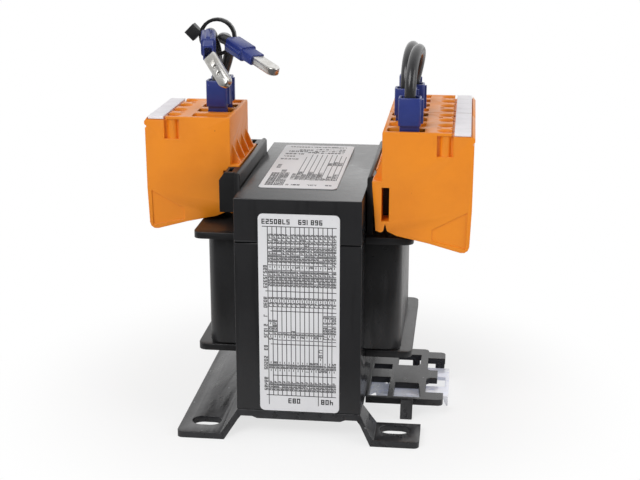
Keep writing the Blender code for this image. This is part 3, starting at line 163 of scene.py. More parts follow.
class LeadSettings(bpy.types.PropertyGroup):
    diameter: length_property("Diameter", "Outside diameter of a jumper lead", 3.2 * MM)
    sides: bpy.props.IntProperty(name="Sides", description="Faces round a lead", default=28)
    steps: bpy.props.IntProperty(name="Steps", description="Rings along a lead", default=72)


class EdgeSettings(bpy.types.PropertyGroup):
    sheet: length_property("Sheet edge", "Rounding of the pressed steel edges", 0.28 * MM)
    clip: length_property("Clip edge", "Rounding of the rail clip's edges", 0.16 * MM)
    latch: length_property("Latch edge", "Rounding of the latch's sheared edges", 0.12 * MM)
    moulding: length_property("Moulding edge", "Rounding of the housings' edges", 0.16 * MM)
    marker: length_property("Marker edge", "Rounding of the marker strips' edges", 0.08 * MM)
    bobbin: length_property("Bobbin edge", "Rounding of the bobbin's edges", 0.18 * MM)
    wrap: length_property("Wrap edge", "Rounding of the coil's outer wrap", 0.6 * MM)
    core: length_property("Core edge", "Rounding of the varnished core's edges", 0.22 * MM)
    plug: length_property("Plug edge", "Rounding of the plugs' edges", 0.14 * MM)
    contact: length_property("Contact edge", "Rounding of the contacts' edges", 0.10 * MM)


class ColourSettings(bpy.types.PropertyGroup):
    lamination: colour_property("Core", "Varnished laminations", (0.019, 0.019, 0.0205))
    bobbin: colour_property("Bobbin", "Black moulded plastic", (0.013, 0.013, 0.014))
    wrap: colour_property("Wrap", "Outer wrap of the coil", (0.014, 0.014, 0.015))
    sheet: colour_property("Sheet", "Dipped steel of the feet and the clip", (0.022, 0.022, 0.0245))
    zinc: colour_property("Zinc", "Bright zinc of the latch", (0.84, 0.86, 0.95))
    housing: colour_property("Housing", "Orange terminal housings", (0.90, 0.278, 0.011))
    marker: colour_property("Marker", "White marker strips", (0.90, 0.87, 0.90))
    plug: colour_property("Plug", "Blue jumper plugs", (0.024, 0.040, 0.205))
    lead: colour_property("Lead", "Jumper leads", (0.021, 0.021, 0.022))
    tin: colour_property("Contact", "Tinned contacts", (0.70, 0.69, 0.67))
    label: colour_property("Label", "Label film", (0.78, 0.78, 0.80))
    ink: colour_property("Ink", "Print on the labels", (0.008, 0.008, 0.010))


class LightSettings(bpy.types.PropertyGroup):
    surround: bpy.props.FloatProperty(name="Surround", description="Strength of the surrounding light", default=0.68)
    key: bpy.props.FloatProperty(name="Key", description="Power of the soft key light", default=5.8, unit="POWER")
    fill: bpy.props.FloatProperty(name="Fill", description="Power of the soft fill light", default=2.3, unit="POWER")
    floor: colour_property("Floor", "Plain pale floor", (0.93, 0.93, 0.93))


class TransformerSettings(bpy.types.PropertyGroup):
    camera: bpy.props.PointerProperty(type=CameraSettings)
    lead: bpy.props.PointerProperty(type=LeadSettings)
    edge: bpy.props.PointerProperty(type=EdgeSettings)
    colour: bpy.props.PointerProperty(type=ColourSettings)
    light: bpy.props.PointerProperty(type=LightSettings)


# Node trees


class Graph:
    """Short calls that place nodes in a tree and join their sockets."""

    def __init__(self, tree):
        self.tree = tree

    def node(self, kind, **settings):
        made = self.tree.nodes.new("ShaderNode" + kind)
        for name, value in settings.items():
            setattr(made, name, value)
        return made

    def feed(self, socket, value):
        if isinstance(value, bpy.types.NodeSocket):
            self.tree.links.new(value, socket)
        elif value is not None:
            socket.default_value = value

    def placed(self, kind, values, output=0, **settings):
        """One output of a node whose inputs are fed in order, and left as they are where a value is None."""
        made = self.node(kind, **settings)
        for socket, value in zip(made.inputs, values):
            self.feed(socket, value)
        return made.outputs[output]

    def math(self, operation, *values):
        return self.placed("Math", values, operation=operation)

    def vector(self, operation, *values, output=0):
        return self.placed("VectorMath", values, output, operation=operation)

    def part(self, vector, index):
        return self.placed("SeparateXYZ", (vector,), index)

    def mix(self, factor, first, second):
        return self.placed("Mix", (factor, *[None] * 5, first, second), 2, data_type="RGBA")

    def blend(self, factor, first, second):
        return self.placed("Mix", (factor, None, first, second), data_type="FLOAT")

    def pass_over(self, factor, first, second):
        return self.placed("MixShader", (factor, first, second))

    def span(self, value, low, high, to_low=0.0, to_high=1.0):
        limits = value, low, high, to_low, to_high
        return self.placed("MapRange", limits, clamp=True, interpolation_type="SMOOTHSTEP")

    def noise(self, place, scale, detail=2.0, roughness=0.5):
        return self.placed("TexNoise", (place, None, scale, detail, roughness))

    def place(self):
        return self.node("TexCoord").outputs["Object"]


def new_effect(name, inputs, outputs):
    """A shader node group with named sockets: its graph, the sockets that it takes from and those that it gives to."""
    tree = bpy.data.node_groups.new(name, "ShaderNodeTree")
    for label, kind, default in inputs:
        socket = tree.interface.new_socket(label, in_out="INPUT", socket_type="NodeSocket" + kind)
        socket.default_value = default
    for label, kind in outputs:
        tree.interface.new_socket(label, in_out="OUTPUT", socket_type="NodeSocket" + kind)
    graph = Graph(tree)
    entry = tree.nodes.new("NodeGroupInput")
    leave = tree.nodes.new("NodeGroupOutput")
    return graph, entry.outputs, leave.inputs


def make_mottle():
    """Broad cloudy variation between two colours, with a matching change of roughness."""
    inputs = (
        ("Colour", "Color", (0.5, 0.5, 0.5, 1)), ("Second Colour", "Color", (0.4, 0.4, 0.4, 1)),
        ("Scale", "Float", 60.0), ("Amount", "Float", 0.5),
        ("Roughness", "Float", 0.4), ("Roughness Spread", "Float", 0.08),
    )
    graph, take, give = new_effect("Mottle", inputs, (("Colour", "Color"), ("Roughness", "Float")))
    cloud = graph.noise(graph.place(), take["Scale"], 5.0, 0.6)
    mask = graph.math("MULTIPLY", graph.span(cloud, 0.35, 0.68), take["Amount"])
    graph.feed(give["Colour"], graph.mix(mask, take["Colour"], take["Second Colour"]))
    fine = graph.noise(graph.place(), graph.math("MULTIPLY", take["Scale"], 7.0), 3.0)
    both = graph.math("ADD", graph.math("SUBTRACT", cloud, 0.5), graph.math("SUBTRACT", fine, 0.5))
    shift = graph.math("MULTIPLY", both, take["Roughness Spread"])
    graph.feed(give["Roughness"], graph.math("ADD", take["Roughness"], shift))
    return graph.tree


def make_wear_and_highlight():
    """A mask along outer edges, broken up by noise, and the normal of the slightly rounded edge. The mask lays paler
    edges: rubbing on some finishes, painted highlight on others.
    """
    inputs = ("Radius", "Float", 0.0004), ("Scale", "Float", 900.0), ("Amount", "Float", 0.5)
    graph, take, give = new_effect("Edge Wear And Highlight", inputs, (("Mask", "Float"), ("Normal", "Vector")))
    round_edge = graph.node("Bevel", samples=6)
    graph.feed(round_edge.inputs["Radius"], take["Radius"])
    flat = graph.node("NewGeometry").outputs["Normal"]
    bend = graph.math("SUBTRACT", 1.0, graph.vector("DOT_PRODUCT", flat, round_edge.outputs[0], output=1))
    breakup = graph.span(graph.noise(graph.place(), take["Scale"], 3.0), 0.38, 0.66)
    mask = graph.math("MULTIPLY", graph.span(bend, 0.01, 0.16), breakup)
    graph.feed(give["Mask"], graph.math("MULTIPLY", mask, take["Amount"]))
    graph.feed(give["Normal"], round_edge.outputs[0])
    return graph.tree


def make_specks():
    """Small round specks: the cells of a Voronoi pattern whose own random value is high."""
    inputs = ("Scale", "Float", 500.0), ("Size", "Float", 0.25), ("Share", "Float", 0.2)
    graph, take, give = new_effect("Specks", inputs, (("Mask", "Float"),))
    cell = graph.node("TexVoronoi")
    graph.feed(cell.inputs["Vector"], graph.place())
    graph.feed(cell.inputs["Scale"], take["Scale"])
    near = graph.math("LESS_THAN", cell.outputs["Distance"], take["Size"])
    parts = graph.node("SeparateColor")
    graph.feed(parts.inputs[0], cell.outputs["Color"])
    chosen = graph.math("LESS_THAN", parts.outputs[0], take["Share"])
    graph.feed(give["Mask"], graph.math("MULTIPLY", near, chosen))
    return graph.tree


def make_grain():
    """Fine relief for a Bump node: mould texture or orange peel, with a broad wave beneath it."""
    inputs = ("Scale", "Float", 2500.0), ("Wave Scale", "Float", 120.0), ("Wave", "Float", 0.6)
    graph, take, give = new_effect("Grain", inputs, (("Height", "Float"),))
    fine = graph.noise(graph.place(), take["Scale"], 2.0)
    wave = graph.math("MULTIPLY", graph.noise(graph.place(), take["Wave Scale"], 2.0), take["Wave"])
    graph.feed(give["Height"], graph.math("ADD", fine, wave))
    return graph.tree


def make_dust():
    """A mask of settled dust on faces that look upwards, thinned by noise."""
    inputs = ("Scale", "Float", 350.0), ("Amount", "Float", 0.2)
    graph, take, give = new_effect("Dust", inputs, (("Mask", "Float"),))
    settled = graph.span(graph.part(graph.node("NewGeometry").outputs["Normal"], 2), 0.5, 0.95)
    flecks = graph.span(graph.noise(graph.place(), take["Scale"], 6.0, 0.7), 0.45, 0.75)
    graph.feed(give["Mask"], graph.math("MULTIPLY", graph.math("MULTIPLY", settled, flecks), take["Amount"]))
    return graph.tree


def make_runs():
    """Varnish runs: noise drawn out along one way, as a height and as a mask of the thick places."""
    inputs = ("Stretch", "Vector", (1.0, 1.0, 0.12)), ("Scale", "Float", 420.0)
    graph, take, give = new_effect("Varnish Runs", inputs, (("Height", "Float"), ("Mask", "Float")))
    place = graph.vector("MULTIPLY", graph.place(), take["Stretch"])
    run = graph.noise(place, take["Scale"], 2.0, 0.4)
    graph.feed(give["Height"], run)
    graph.feed(give["Mask"], graph.span(run, 0.56, 0.72))
    return graph.tree


def make_effects():
    return {
        "mottle": make_mottle(), "wear_and_highlight": make_wear_and_highlight(), "specks": make_specks(),
        "grain": make_grain(), "dust": make_dust(), "runs": make_runs(),
    }


DUST, DUST_ROUGHNESS = (0.35, 0.34, 0.33), 0.8


def four(colour):
    return (*colour, 1.0)


def shade(colour, share):
    return [share * channel for channel in colour]


class Finish:
    """A material whose effects are placed in layers over a Principled shader."""

    def __init__(self, name, colour, second, roughness, spread=0.08, scale=60.0, amount=0.6):
        self.made = bpy.data.materials.new(name)
        self.made.use_nodes = True
        self.graph = Graph(self.made.node_tree)
        self.shader = self.made.node_tree.nodes["Principled BSDF"]
        clouds = {"Colour": four(colour), "Second Colour": four(second), "Scale": scale, "Amount": amount}
        mottle = self.effect("mottle", {**clouds, "Roughness": roughness, "Roughness Spread": spread})
        self.colour = mottle["Colour"]
        self.roughness = mottle["Roughness"]
        self.normal = None

    def effect(self, name, values):
        group = self.graph.node("Group", node_tree=EFFECTS[name])
        for label, value in values.items():
            self.graph.feed(group.inputs[label], value)
        return group.outputs

    def set(self, **values):
        for label, value in values.items():
            self.shader.inputs[label.replace("_", " ")].default_value = value
        return self

    def cover(self, mask, colour, roughness=None):
        """Lays a colour, and a roughness if one is given, over what is there."""
        self.colour = self.graph.mix(mask, self.colour, four(colour))
        if roughness is not None:
            self.roughness = self.graph.blend(mask, self.roughness, roughness)
        return self

    # Paler edges: rubbing, and a painted highlight on the plugs and the bobbin.
    def edge_wear_and_highlight(self, colour, amount=0.5, radius=0.35 * MM, scale=900.0):
        wear_and_highlight = self.effect("wear_and_highlight", {"Radius": radius, "Scale": scale, "Amount": amount})
        self.normal = wear_and_highlight["Normal"]
        return self.cover(wear_and_highlight["Mask"], colour)

    def specked(self, colour, scale=500.0, size=0.22, share=0.15):
        return self.cover(self.effect("specks", {"Scale": scale, "Size": size, "Share": share})["Mask"], colour)

    def dusty(self, amount):
        return self.cover(self.effect("dust", {"Scale": 350.0, "Amount": amount})["Mask"], DUST, DUST_ROUGHNESS)

    def relief(self, height, distance):
        bump = self.graph.node("Bump")
        self.graph.feed(bump.inputs["Height"], height)
        bump.inputs["Distance"].default_value = distance
        bump.inputs["Strength"].default_value = 1.0
        self.graph.feed(bump.inputs["Normal"], self.normal)
        self.normal = bump.outputs[0]
        return self

    def grained(self, distance=0.01 * MM, scale=2500.0, wave_scale=120.0, wave=0.6):
        grain = self.effect("grain", {"Scale": scale, "Wave Scale": wave_scale, "Wave": wave})
        return self.relief(grain["Height"], distance)

    def done(self):
        self.graph.feed(self.shader.inputs["Base Color"], self.colour)
        self.graph.feed(self.shader.inputs["Roughness"], self.roughness)
        if self.normal is not None:
            self.graph.feed(self.shader.inputs["Normal"], self.normal)
        return self.made


def lamination_finish(colour):
    """Dipped varnish over stacked sheets: a faint line for each sheet, runs, specks and a little dust."""
    base = Finish("varnished_laminations", colour, shade(colour, 1.25), 0.22, 0.08, 45.0)
    graph = base.graph
    runs = base.effect("runs", {"Stretch": (1.0, 1.0, 0.10), "Scale": 300.0})
    base.cover(runs["Mask"], shade(colour, 0.8), 0.18)
    base.specked((0.12, 0.12, 0.12), 260.0, 0.10, 0.06)
    base.dusty(0.05)
    sheet = graph.math("SINE", graph.math("MULTIPLY", graph.part(graph.place(), 0), 2 * math.pi / (0.5 * MM)))
    faded = graph.math("MULTIPLY", sheet, graph.span(graph.noise(graph.place(), 150.0, 3.0), 0.4, 0.7))
    base.relief(faded, 0.002 * MM)
    base.relief(runs["Height"], 0.03 * MM)
    base.grained(0.004 * MM, 1800.0, 90.0, 1.2)
    return base.set(Specular_IOR_Level=0.5).done()


def bobbin_finish(colour):
    base = Finish("black_bobbin_plastic", colour, shade(colour, 1.6), 0.36, 0.08, 90.0)
    # Painted highlight: the paler grey along the bobbin's edges.
    base.edge_wear_and_highlight((0.06, 0.06, 0.062), 0.4, 0.3 * MM, 700.0).dusty(0.06)
    base.specked((0.09, 0.09, 0.09), 420.0, 0.10, 0.08)
    return base.grained(0.010 * MM, 2600.0, 150.0, 0.8).set(Specular_IOR_Level=0.45).done()


def wrap_finish(colour):
    base = Finish("black_coil_wrap", colour, shade(colour, 1.7), 0.30, 0.10, 70.0)
    runs = base.effect("runs", {"Stretch": (1.0, 1.0, 0.18), "Scale": 260.0})
    base.cover(runs["Mask"], shade(colour, 2.2), 0.24)
    base.dusty(0.08)
    base.relief(runs["Height"], 0.14 * MM)
    return base.grained(0.03 * MM, 700.0, 110.0, 2.0).done()


def weld_finish(colour):
    base = Finish("varnished_weld", colour, shade(colour, 2.0), 0.32, 0.12, 500.0)
    base.specked((0.16, 0.15, 0.14), 900.0, 0.2, 0.2)
    return base.grained(0.05 * MM, 1500.0, 600.0, 1.0).done()


def copper_finish():
    base = Finish("enamelled_copper", (0.48, 0.17, 0.07), (0.36, 0.10, 0.035), 0.30, 0.08, 220.0)
    graph = base.graph
    turn = graph.math("SINE", graph.math("MULTIPLY", graph.part(graph.place(), 2), math.pi / (0.6 * MM)))
    turn = graph.math("ABSOLUTE", turn)
    # Painted shade: the grooves between the turns are darkened.
    base.cover(graph.span(turn, 0.35, 0.0), (0.10, 0.03, 0.012))
    return base.relief(turn, 0.2 * MM).set(Metallic=0.85).done()


def film_finish():
    base = Finish("insulating_film", (0.62, 0.52, 0.30), (0.50, 0.40, 0.20), 0.45, 0.10, 180.0)
    return base.edge_wear_and_highlight((0.70, 0.62, 0.42), 0.4).grained(0.02 * MM, 900.0, 140.0, 1.0).done()


def sheet_finish(name, colour, runs_amount):
    """Dipped steel sheet: satin, with orange peel, varnish runs, paler rubbed edges, specks and dust."""
    base = Finish(name, colour, shade(colour, 1.6), 0.30, 0.10, 110.0)
    runs = base.effect("runs", {"Stretch": (1.0, 0.25, 1.0), "Scale": 330.0})
    base.cover(runs["Mask"], shade(colour, 0.6), 0.22)
    base.edge_wear_and_highlight((0.09, 0.09, 0.095), 0.5, 0.35 * MM, 800.0)
    base.specked((0.25, 0.25, 0.26), 450.0, 0.13, 0.12)
    base.dusty(0.08)
    base.relief(runs["Height"], runs_amount)
    return base.grained(0.018 * MM, 1400.0, 160.0, 1.2).done()


def zinc_finish(colour):
    """Bright passivated zinc: rolled grain, pale blue and straw clouds, dull scratches, and a faint bluish glow of
    painted light.
    """
    base = Finish("bright_zinc", colour, (0.80, 0.78, 0.62), 0.24, 0.16, 130.0, 0.8)
    graph = base.graph
    place = graph.vector("MULTIPLY", graph.place(), (0.08, 1.0, 1.0))
    scratches = graph.noise(place, 2600.0, 3.0, 0.6)
    base.cover(graph.span(scratches, 0.60, 0.80), (0.50, 0.51, 0.54), 0.42)
    clouds = graph.span(graph.noise(graph.place(), 260.0, 4.0, 0.6), 0.52, 0.70)
    base.cover(clouds, (0.55, 0.58, 0.78))
    base.edge_wear_and_highlight((0.85, 0.86, 0.88), 0.5, 0.25 * MM, 900.0)
    base.relief(scratches, 0.008 * MM)
    base.grained(0.01 * MM, 1200.0, 200.0, 1.4)
    # Painted light: the emission makes the latch glow faintly bluish, brightening it in the shade under the plate.
    return base.set(Metallic=0.15, Emission_Color=(0.60, 0.64, 0.80, 1.0), Emission_Strength=0.22).done()


def spring_finish():
    base = Finish("spring_steel", (0.45, 0.45, 0.46), (0.30, 0.30, 0.31), 0.28, 0.10, 900.0)
    return base.grained(0.004 * MM, 4000.0, 900.0, 0.8).set(Metallic=1.0).done()


def housing_finish(colour):
    """Orange polyamide: even, faintly cloudy, with a fine mould texture and paler rubbed edges."""
    base = Finish("orange_polyamide", colour, (0.82, 0.238, 0.009), 0.38, 0.06, 70.0, 0.6)
    base.edge_wear_and_highlight((0.95, 0.42, 0.06), 0.35, 0.30 * MM, 600.0)
    base.specked((0.62, 0.15, 0.01), 500.0, 0.10, 0.04)
    return base.grained(0.008 * MM, 3000.0, 80.0, 1.6).set(Specular_IOR_Level=0.42).done()


def marker_finish(colour):
    base = Finish("white_marker", colour, shade(colour, 0.93), 0.46, 0.06, 200.0)
    base.edge_wear_and_highlight((0.9, 0.9, 0.92), 0.4, 0.15 * MM)
    return base.grained(0.006 * MM, 2500.0, 200.0, 0.5).done()


def plug_finish(colour):
    base = Finish("blue_polyamide", colour, (0.030, 0.048, 0.235), 0.30, 0.08, 190.0)
    # Painted highlight: the pale lavender along the plug's edges.
    base.edge_wear_and_highlight((0.24, 0.28, 0.60), 0.7, 0.35 * MM, 700.0)
    base.specked((0.30, 0.33, 0.60), 700.0, 0.10, 0.05)
    return base.grained(0.012 * MM, 2400.0, 260.0, 1.0).done()


def tin_finish(colour):
    base = Finish("tinned_contact", colour, (0.50, 0.48, 0.44), 0.30, 0.14, 320.0)
    graph = base.graph
    stain = graph.span(graph.noise(graph.place(), 700.0, 5.0, 0.7), 0.58, 0.74)
    base.cover(stain, (0.26, 0.23, 0.18), 0.50)
    base.edge_wear_and_highlight((0.86, 0.85, 0.83), 0.5, 0.2 * MM)
    return base.grained(0.015 * MM, 1500.0, 420.0, 1.2).set(Metallic=1.0).done()


def lead_finish(colour):
    """Black PVC: soft sheen, a dull bloom in patches, specks and a fine grain."""
    base = Finish("black_pvc", colour, (0.040, 0.040, 0.043), 0.24, 0.08, 160.0)
    base.specked((0.12, 0.12, 0.12), 900.0, 0.12, 0.06)
    return base.grained(0.010 * MM, 2200.0, 300.0, 1.0).set(Sheen_Weight=0.10, Specular_IOR_Level=0.6).done()


def nylon_finish():
    base = Finish("black_nylon", (0.014, 0.014, 0.015), (0.024, 0.024, 0.025), 0.36, 0.08, 300.0)
    base.edge_wear_and_highlight((0.06, 0.06, 0.06), 0.4, 0.2 * MM)
    return base.grained(0.01 * MM, 2600.0, 400.0, 1.0).done()


def label_finish(colour):
    """Label film: faint cockle and clouding, and a few small specks."""
    base = Finish("label_film", colour, shade(colour, 0.94), 0.36, 0.06, 60.0)
    base.specked(shade(colour, 0.75), 600.0, 0.08, 0.04)
    return base.grained(0.012 * MM, 900.0, 70.0, 2.2).done()


def ink_finish(colour):
    base = Finish("label_ink", colour, shade(colour, 3.0), 0.42, 0.08, 900.0)
    return base.grained(0.004 * MM, 3000.0, 500.0, 0.5).done()


def make_finishes(colour):
    return {
        "lamination": lamination_finish(colour.lamination),
        "weld": weld_finish(colour.lamination),
        "bobbin": bobbin_finish(colour.bobbin),
        "copper": copper_finish(),
        "film": film_finish(),
        "wrap": wrap_finish(colour.wrap),
        "frame": sheet_finish("dipped_foot_steel", colour.sheet, 0.22 * MM),
        "clip": sheet_finish("dipped_clip_steel", shade(colour.sheet, 0.85), 0.08 * MM),
        "zinc": zinc_finish(colour.zinc),
        "spring_steel": spring_finish(),
        "housing": housing_finish(colour.housing),
        "marker": marker_finish(colour.marker),
        "plug": plug_finish(colour.plug),
        "contact": tin_finish(colour.tin),
        "lead": lead_finish(colour.lead),
        "tie": nylon_finish(),
        "label": label_finish(colour.label),
        "ink": ink_finish(colour.ink),
    }


# Meshes


def settle(obj, finish, slot, body, *nodes):
    """Gives a piece its finish and the body that it rides on, and hides the CAD nodes that it stands for; its slot is
    not used.
    """
    obj.data.materials.clear()
    obj.data.materials.append(FINISHES[finish])
    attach(obj, body)
    if nodes:
        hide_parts(*nodes)
    return obj


def new_piece(name, mesh):
    obj = bpy.data.objects.new(name, mesh)
    bpy.context.scene.collection.objects.link(obj)
    return obj


def new_surface(name, places, faces):
    mesh = bpy.data.meshes.new(name)
    mesh.from_pydata(np.reshape(places, (-1, 3)).tolist(), [], faces)
    mesh.update()
    return new_piece(name, mesh)


def dress(finish, *nodes):
    """Gives CAD nodes a finish without touching their meshes."""
    for node in nodes:
        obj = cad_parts[node]
        if not obj.material_slots:
            obj.data.materials.append(FINISHES[finish])
        for place in obj.material_slots:
            place.material = FINISHES[finish]


def rounded(obj, width, angle=32.0, segments=2, limit="ANGLE"):
    """Rounds a piece's edges with a live modifier."""
    bevel = obj.modifiers.new("rounded_edges", "BEVEL")
    bevel.width = width
    bevel.segments = segments
    bevel.limit_method = limit
    bevel.angle_limit = math.radians(angle)
    bevel.use_clamp_overlap = True
    bevel.harden_normals = True


def read(items, name, width=1, kind=float):
    """One value of every item of a mesh, as an array with a row for each item."""
    flat = np.empty(len(items) * width, kind)
    items.foreach_get(name, flat)
    return flat.reshape(-1, width)


def slimmed(mesh, place, along, share):
    """Draws a mesh in towards an axis: the part of each place square to the axis is multiplied by a share."""
    away = read(mesh.vertices, "co", 3) - place
    axial = (away @ along)[:, None] * along
    mesh.vertices.foreach_set("co", (place + axial + (away - axial) * share).ravel())


def butted(mesh, joint, angle):
    """Closes a level joint where two pieces butt. Places near it come up to just under it and, in the groove, out to
    the end faces, as varnish fills them. Other edges whose faces turn by more than an angle get a rounding's weight."""
    places = read(mesh.vertices, "co", 3)
    near = np.abs(places[:, 2] - joint) < JOINT_NEAR * MM
    places[near, 2] = np.maximum(places[near, 2], joint - JOINT_GAP * MM)
    reach = places[:, 1].max()
    ends = near & (np.abs(places[:, 1]) > reach - JOINT_GROOVE * MM)
    places[ends, 1] = np.copysign(reach, places[ends, 1])
    mesh.vertices.foreach_set("co", places.ravel())
    mesh.update()
    edge = read(mesh.loops, "edge_index", kind=np.int32)[:, 0]
    face = np.repeat(np.arange(len(mesh.polygons)), read(mesh.polygons, "loop_total", kind=np.int32)[:, 0])
    order = np.argsort(edge, kind="stable")
    edge, face = edge[order], face[order]
    shared = edge[1:] == edge[:-1]
    normals = read(mesh.polygons, "normal", 3)
    turn = np.arccos(np.clip((normals[face[1:][shared]] * normals[face[:-1][shared]]).sum(1), -1, 1))
    weights = np.zeros(len(mesh.edges))
    weights[edge[1:][shared]] = turn > angle
    weights[near[read(mesh.edges, "vertices", 2, np.int32)].all(1)] = 0.0
    mesh.attributes.new("bevel_weight_edge", "FLOAT", "EDGE").data.foreach_set("value", weights)


def softened(node, width, finish, body=BODY, angle=32.0, segments=2, joint=None, slim=None):
    """A copy of a CAD node whose merged faces carry a live rounding of every edge sharper than an angle, but not
    along a level joint, if its height is given. Slim is an axis's place and direction, and the share kept round it."""
    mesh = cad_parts[node].data.copy()
    if slim is not None:
        slimmed(mesh, *slim)
    shape = bmesh.new()
    shape.from_mesh(mesh)
    bmesh.ops.remove_doubles(shape, verts=shape.verts, dist=MERGED_WITHIN)
    bmesh.ops.dissolve_limit(
        shape, angle_limit=FLAT_WITHIN, verts=shape.verts, edges=shape.edges, use_dissolve_boundaries=False
    )
    shape.to_mesh(mesh)
    shape.free()
    mesh.polygons.foreach_set("use_smooth", np.ones(len(mesh.polygons), bool))
    if joint is not None:
        butted(mesh, joint, math.radians(angle))
    obj = new_piece(node + "_softened", mesh)
    rounded(obj, width, angle, segments, "ANGLE" if joint is None else "WEIGHT")
    return settle(obj, finish, finish, body, node)


def smooth_route(points, count):
    """The solids' own smooth curve through given points: each stretch is the cubic blend of its four nearest points."""
    ends = np.vstack((2 * points[0] - points[1], points, 2 * points[-1] - points[-2]))
    place = (len(points) - 1) * np.arange(count) / (count - 1)
    k = np.minimum(place.astype(int), len(points) - 2)
    t = (place - k)[:, None]
    a, b, c, d = (ends[k + i] for i in range(4))
    return 0.5 * (2 * b + (c - a) * t + (2 * a - 5 * b + 4 * c - d) * t**2 + (3 * b - a - 3 * c + d) * t**3)


def tube(name, points, radius, sides, across):
    """A closed tube: each ring is the path's point plus radius times (cos of the angle along a fixed
    side direction made square to the path, plus sin of the angle along the third direction)."""
    along = np.gradient(points, axis=0)
    along /= np.linalg.norm(along, axis=1)[:, None]
    side = np.asarray(across, float) - (along @ np.asarray(across, float))[:, None] * along
    side /= np.linalg.norm(side, axis=1)[:, None]
    third = np.cross(along, side)
    angle = 2 * np.pi * np.arange(sides) / sides
    ring = np.cos(angle)[None, :, None] * side[:, None] + np.sin(angle)[None, :, None] * third[:, None]
    radii = np.broadcast_to(np.asarray(radius, float), (len(points),))
    rings = points[:, None] + radii[:, None, None] * ring
    count = len(points)
    first = np.arange(count - 1)[:, None] * sides + np.arange(sides)[None]
    following = np.arange(count - 1)[:, None] * sides + (np.arange(sides)[None] + 1) % sides
    quads = np.stack((first, following, following + sides, first + sides), -1).reshape(-1, 4).tolist()
    lids = [list(range(sides))[::-1], list(range((count - 1) * sides, count * sides))]
    piece = new_surface(name, rings, quads + lids)
    piece.data.polygons.foreach_set("use_smooth", np.r_[np.ones(len(quads), bool), False, False])
    return piece


def slabs(name, low, high):
    """Closed blocks, one for each row of low and high corners: a unit block scaled and shifted, all at once."""
    low, high = np.asarray(low, float), np.asarray(high, float)
    unit = np.array([(x, y, z) for z in (0, 1) for y in (0, 1) for x in (0, 1)], float)
    sides = np.array(((0, 2, 3, 1), (4, 5, 7, 6), (0, 1, 5, 4), (2, 6, 7, 3), (0, 4, 6, 2), (1, 3, 7, 5)))
    places = low[:, None] + (high - low)[:, None] * unit[None]
    faces = sides[None] + 8 * np.arange(len(low))[:, None, None]
    return new_surface(name, places, faces.reshape(-1, 4).tolist())


def draw_out(shape, outlines, plane, low, high):
    """Adds a flat shape drawn out square to its plane: each place of its outlines at a low and a high level, with the
    area inside the first outline and outside the others closed at both levels and walls between the two."""
    first, second, third = {"XY": (0, 1, 2), "XZ": (0, 2, 1), "YZ": (1, 2, 0)}[plane]
    flat = np.vstack(outlines)
    places = np.full((len(flat), 3), float(low))
    places[:, (first, second)] = flat
    ends = np.cumsum([len(outline) for outline in outlines])
    following = np.arange(len(flat)) + 1
    following[ends - 1] = np.r_[0, ends[:-1]]
    rings = bpy.data.meshes.new("outlines")
    rings.from_pydata((places * MM).tolist(), np.stack((np.arange(len(flat)), following), -1).tolist(), [])
    known = len(shape.edges)
    shape.from_mesh(rings)
    bpy.data.meshes.remove(rings)
    shape.edges.ensure_lookup_table()
    filled = bmesh.ops.triangle_fill(shape, edges=shape.edges[known:], use_beauty=True)["geom"]
    faces = [item for item in filled if isinstance(item, bmesh.types.BMFace)]
    grown = bmesh.ops.extrude_face_region(shape, geom=faces)["geom"]
    corners = [item for item in grown if isinstance(item, bmesh.types.BMVert)]
    rise = np.zeros(3)
    rise[third] = (high - low) * MM
    bmesh.ops.translate(shape, verts=corners, vec=rise)


class Print:
    """Rules, bars and plain numerals, gathered as rectangles on a flat label before they are made."""

    def __init__(self):
        self.rectangles = []

    def bar(self, u0, v0, u1, v1):
        self.rectangles.append(np.array(((min(u0, u1), min(v0, v1), max(u0, u1), max(v0, v1)),)))

    def numerals(self, digits, place, along, up, height):
        """Numerals in a row: each chosen stroke's rectangle turned to the row's own directions, as one array."""
        digits = np.asarray(digits)
        along, up, place = (np.asarray(v, float) for v in (along, up, place))
        index, stroke = np.nonzero(NUMERALS[digits])
        cell = STROKES[stroke] * height
        start = place + along * (index * height * 0.8)[:, None]
        a = start + cell[:, :1] * along + cell[:, 1:2] * up
        b = start + cell[:, 2:3] * along + cell[:, 3:4] * up
        self.rectangles.append(np.hstack((np.minimum(a, b), np.maximum(a, b))))

    def make(self, name, plane, low, high):
        """The gathered rectangles as thin blocks between two heights over the XZ or the XY plane."""
        flat = np.vstack(self.rectangles) * MM
        order = (0, 2, 1) if plane == "XZ" else (0, 1, 2)
        ends = (np.column_stack((flat[:, :2], np.full(len(flat), low))),
                np.column_stack((flat[:, 2:], np.full(len(flat), high))))
        return settle(slabs(name, ends[0][:, order], ends[1][:, order]), "ink", "label", BODY)


# Operators


def settings(context):
    return context.scene.mains_transformer


class TRANSFORMER_OT_place_camera(bpy.types.Operator):
    """Place the camera at the photograph's viewing angle"""

    bl_idname = "transformer.place_camera"
    bl_label = "Place camera"

    def execute(self, context):
        given = settings(context).camera
        data = bpy.data.cameras.new("camera")
        data.lens = given.lens
        data.sensor_width = 36.0
        data.clip_start = 0.01
        camera = bpy.data.objects.new("camera", data)
        context.scene.collection.objects.link(camera)
        camera.location = given.place
        level = math.cos(given.pitch)
        ahead = Vector((-math.sin(given.yaw) * level, math.cos(given.yaw) * level, -math.sin(given.pitch)))
        camera.rotation_euler = ahead.to_track_quat("-Z", "Y").to_euler()
        context.scene.camera = camera
        return {"FINISHED"}


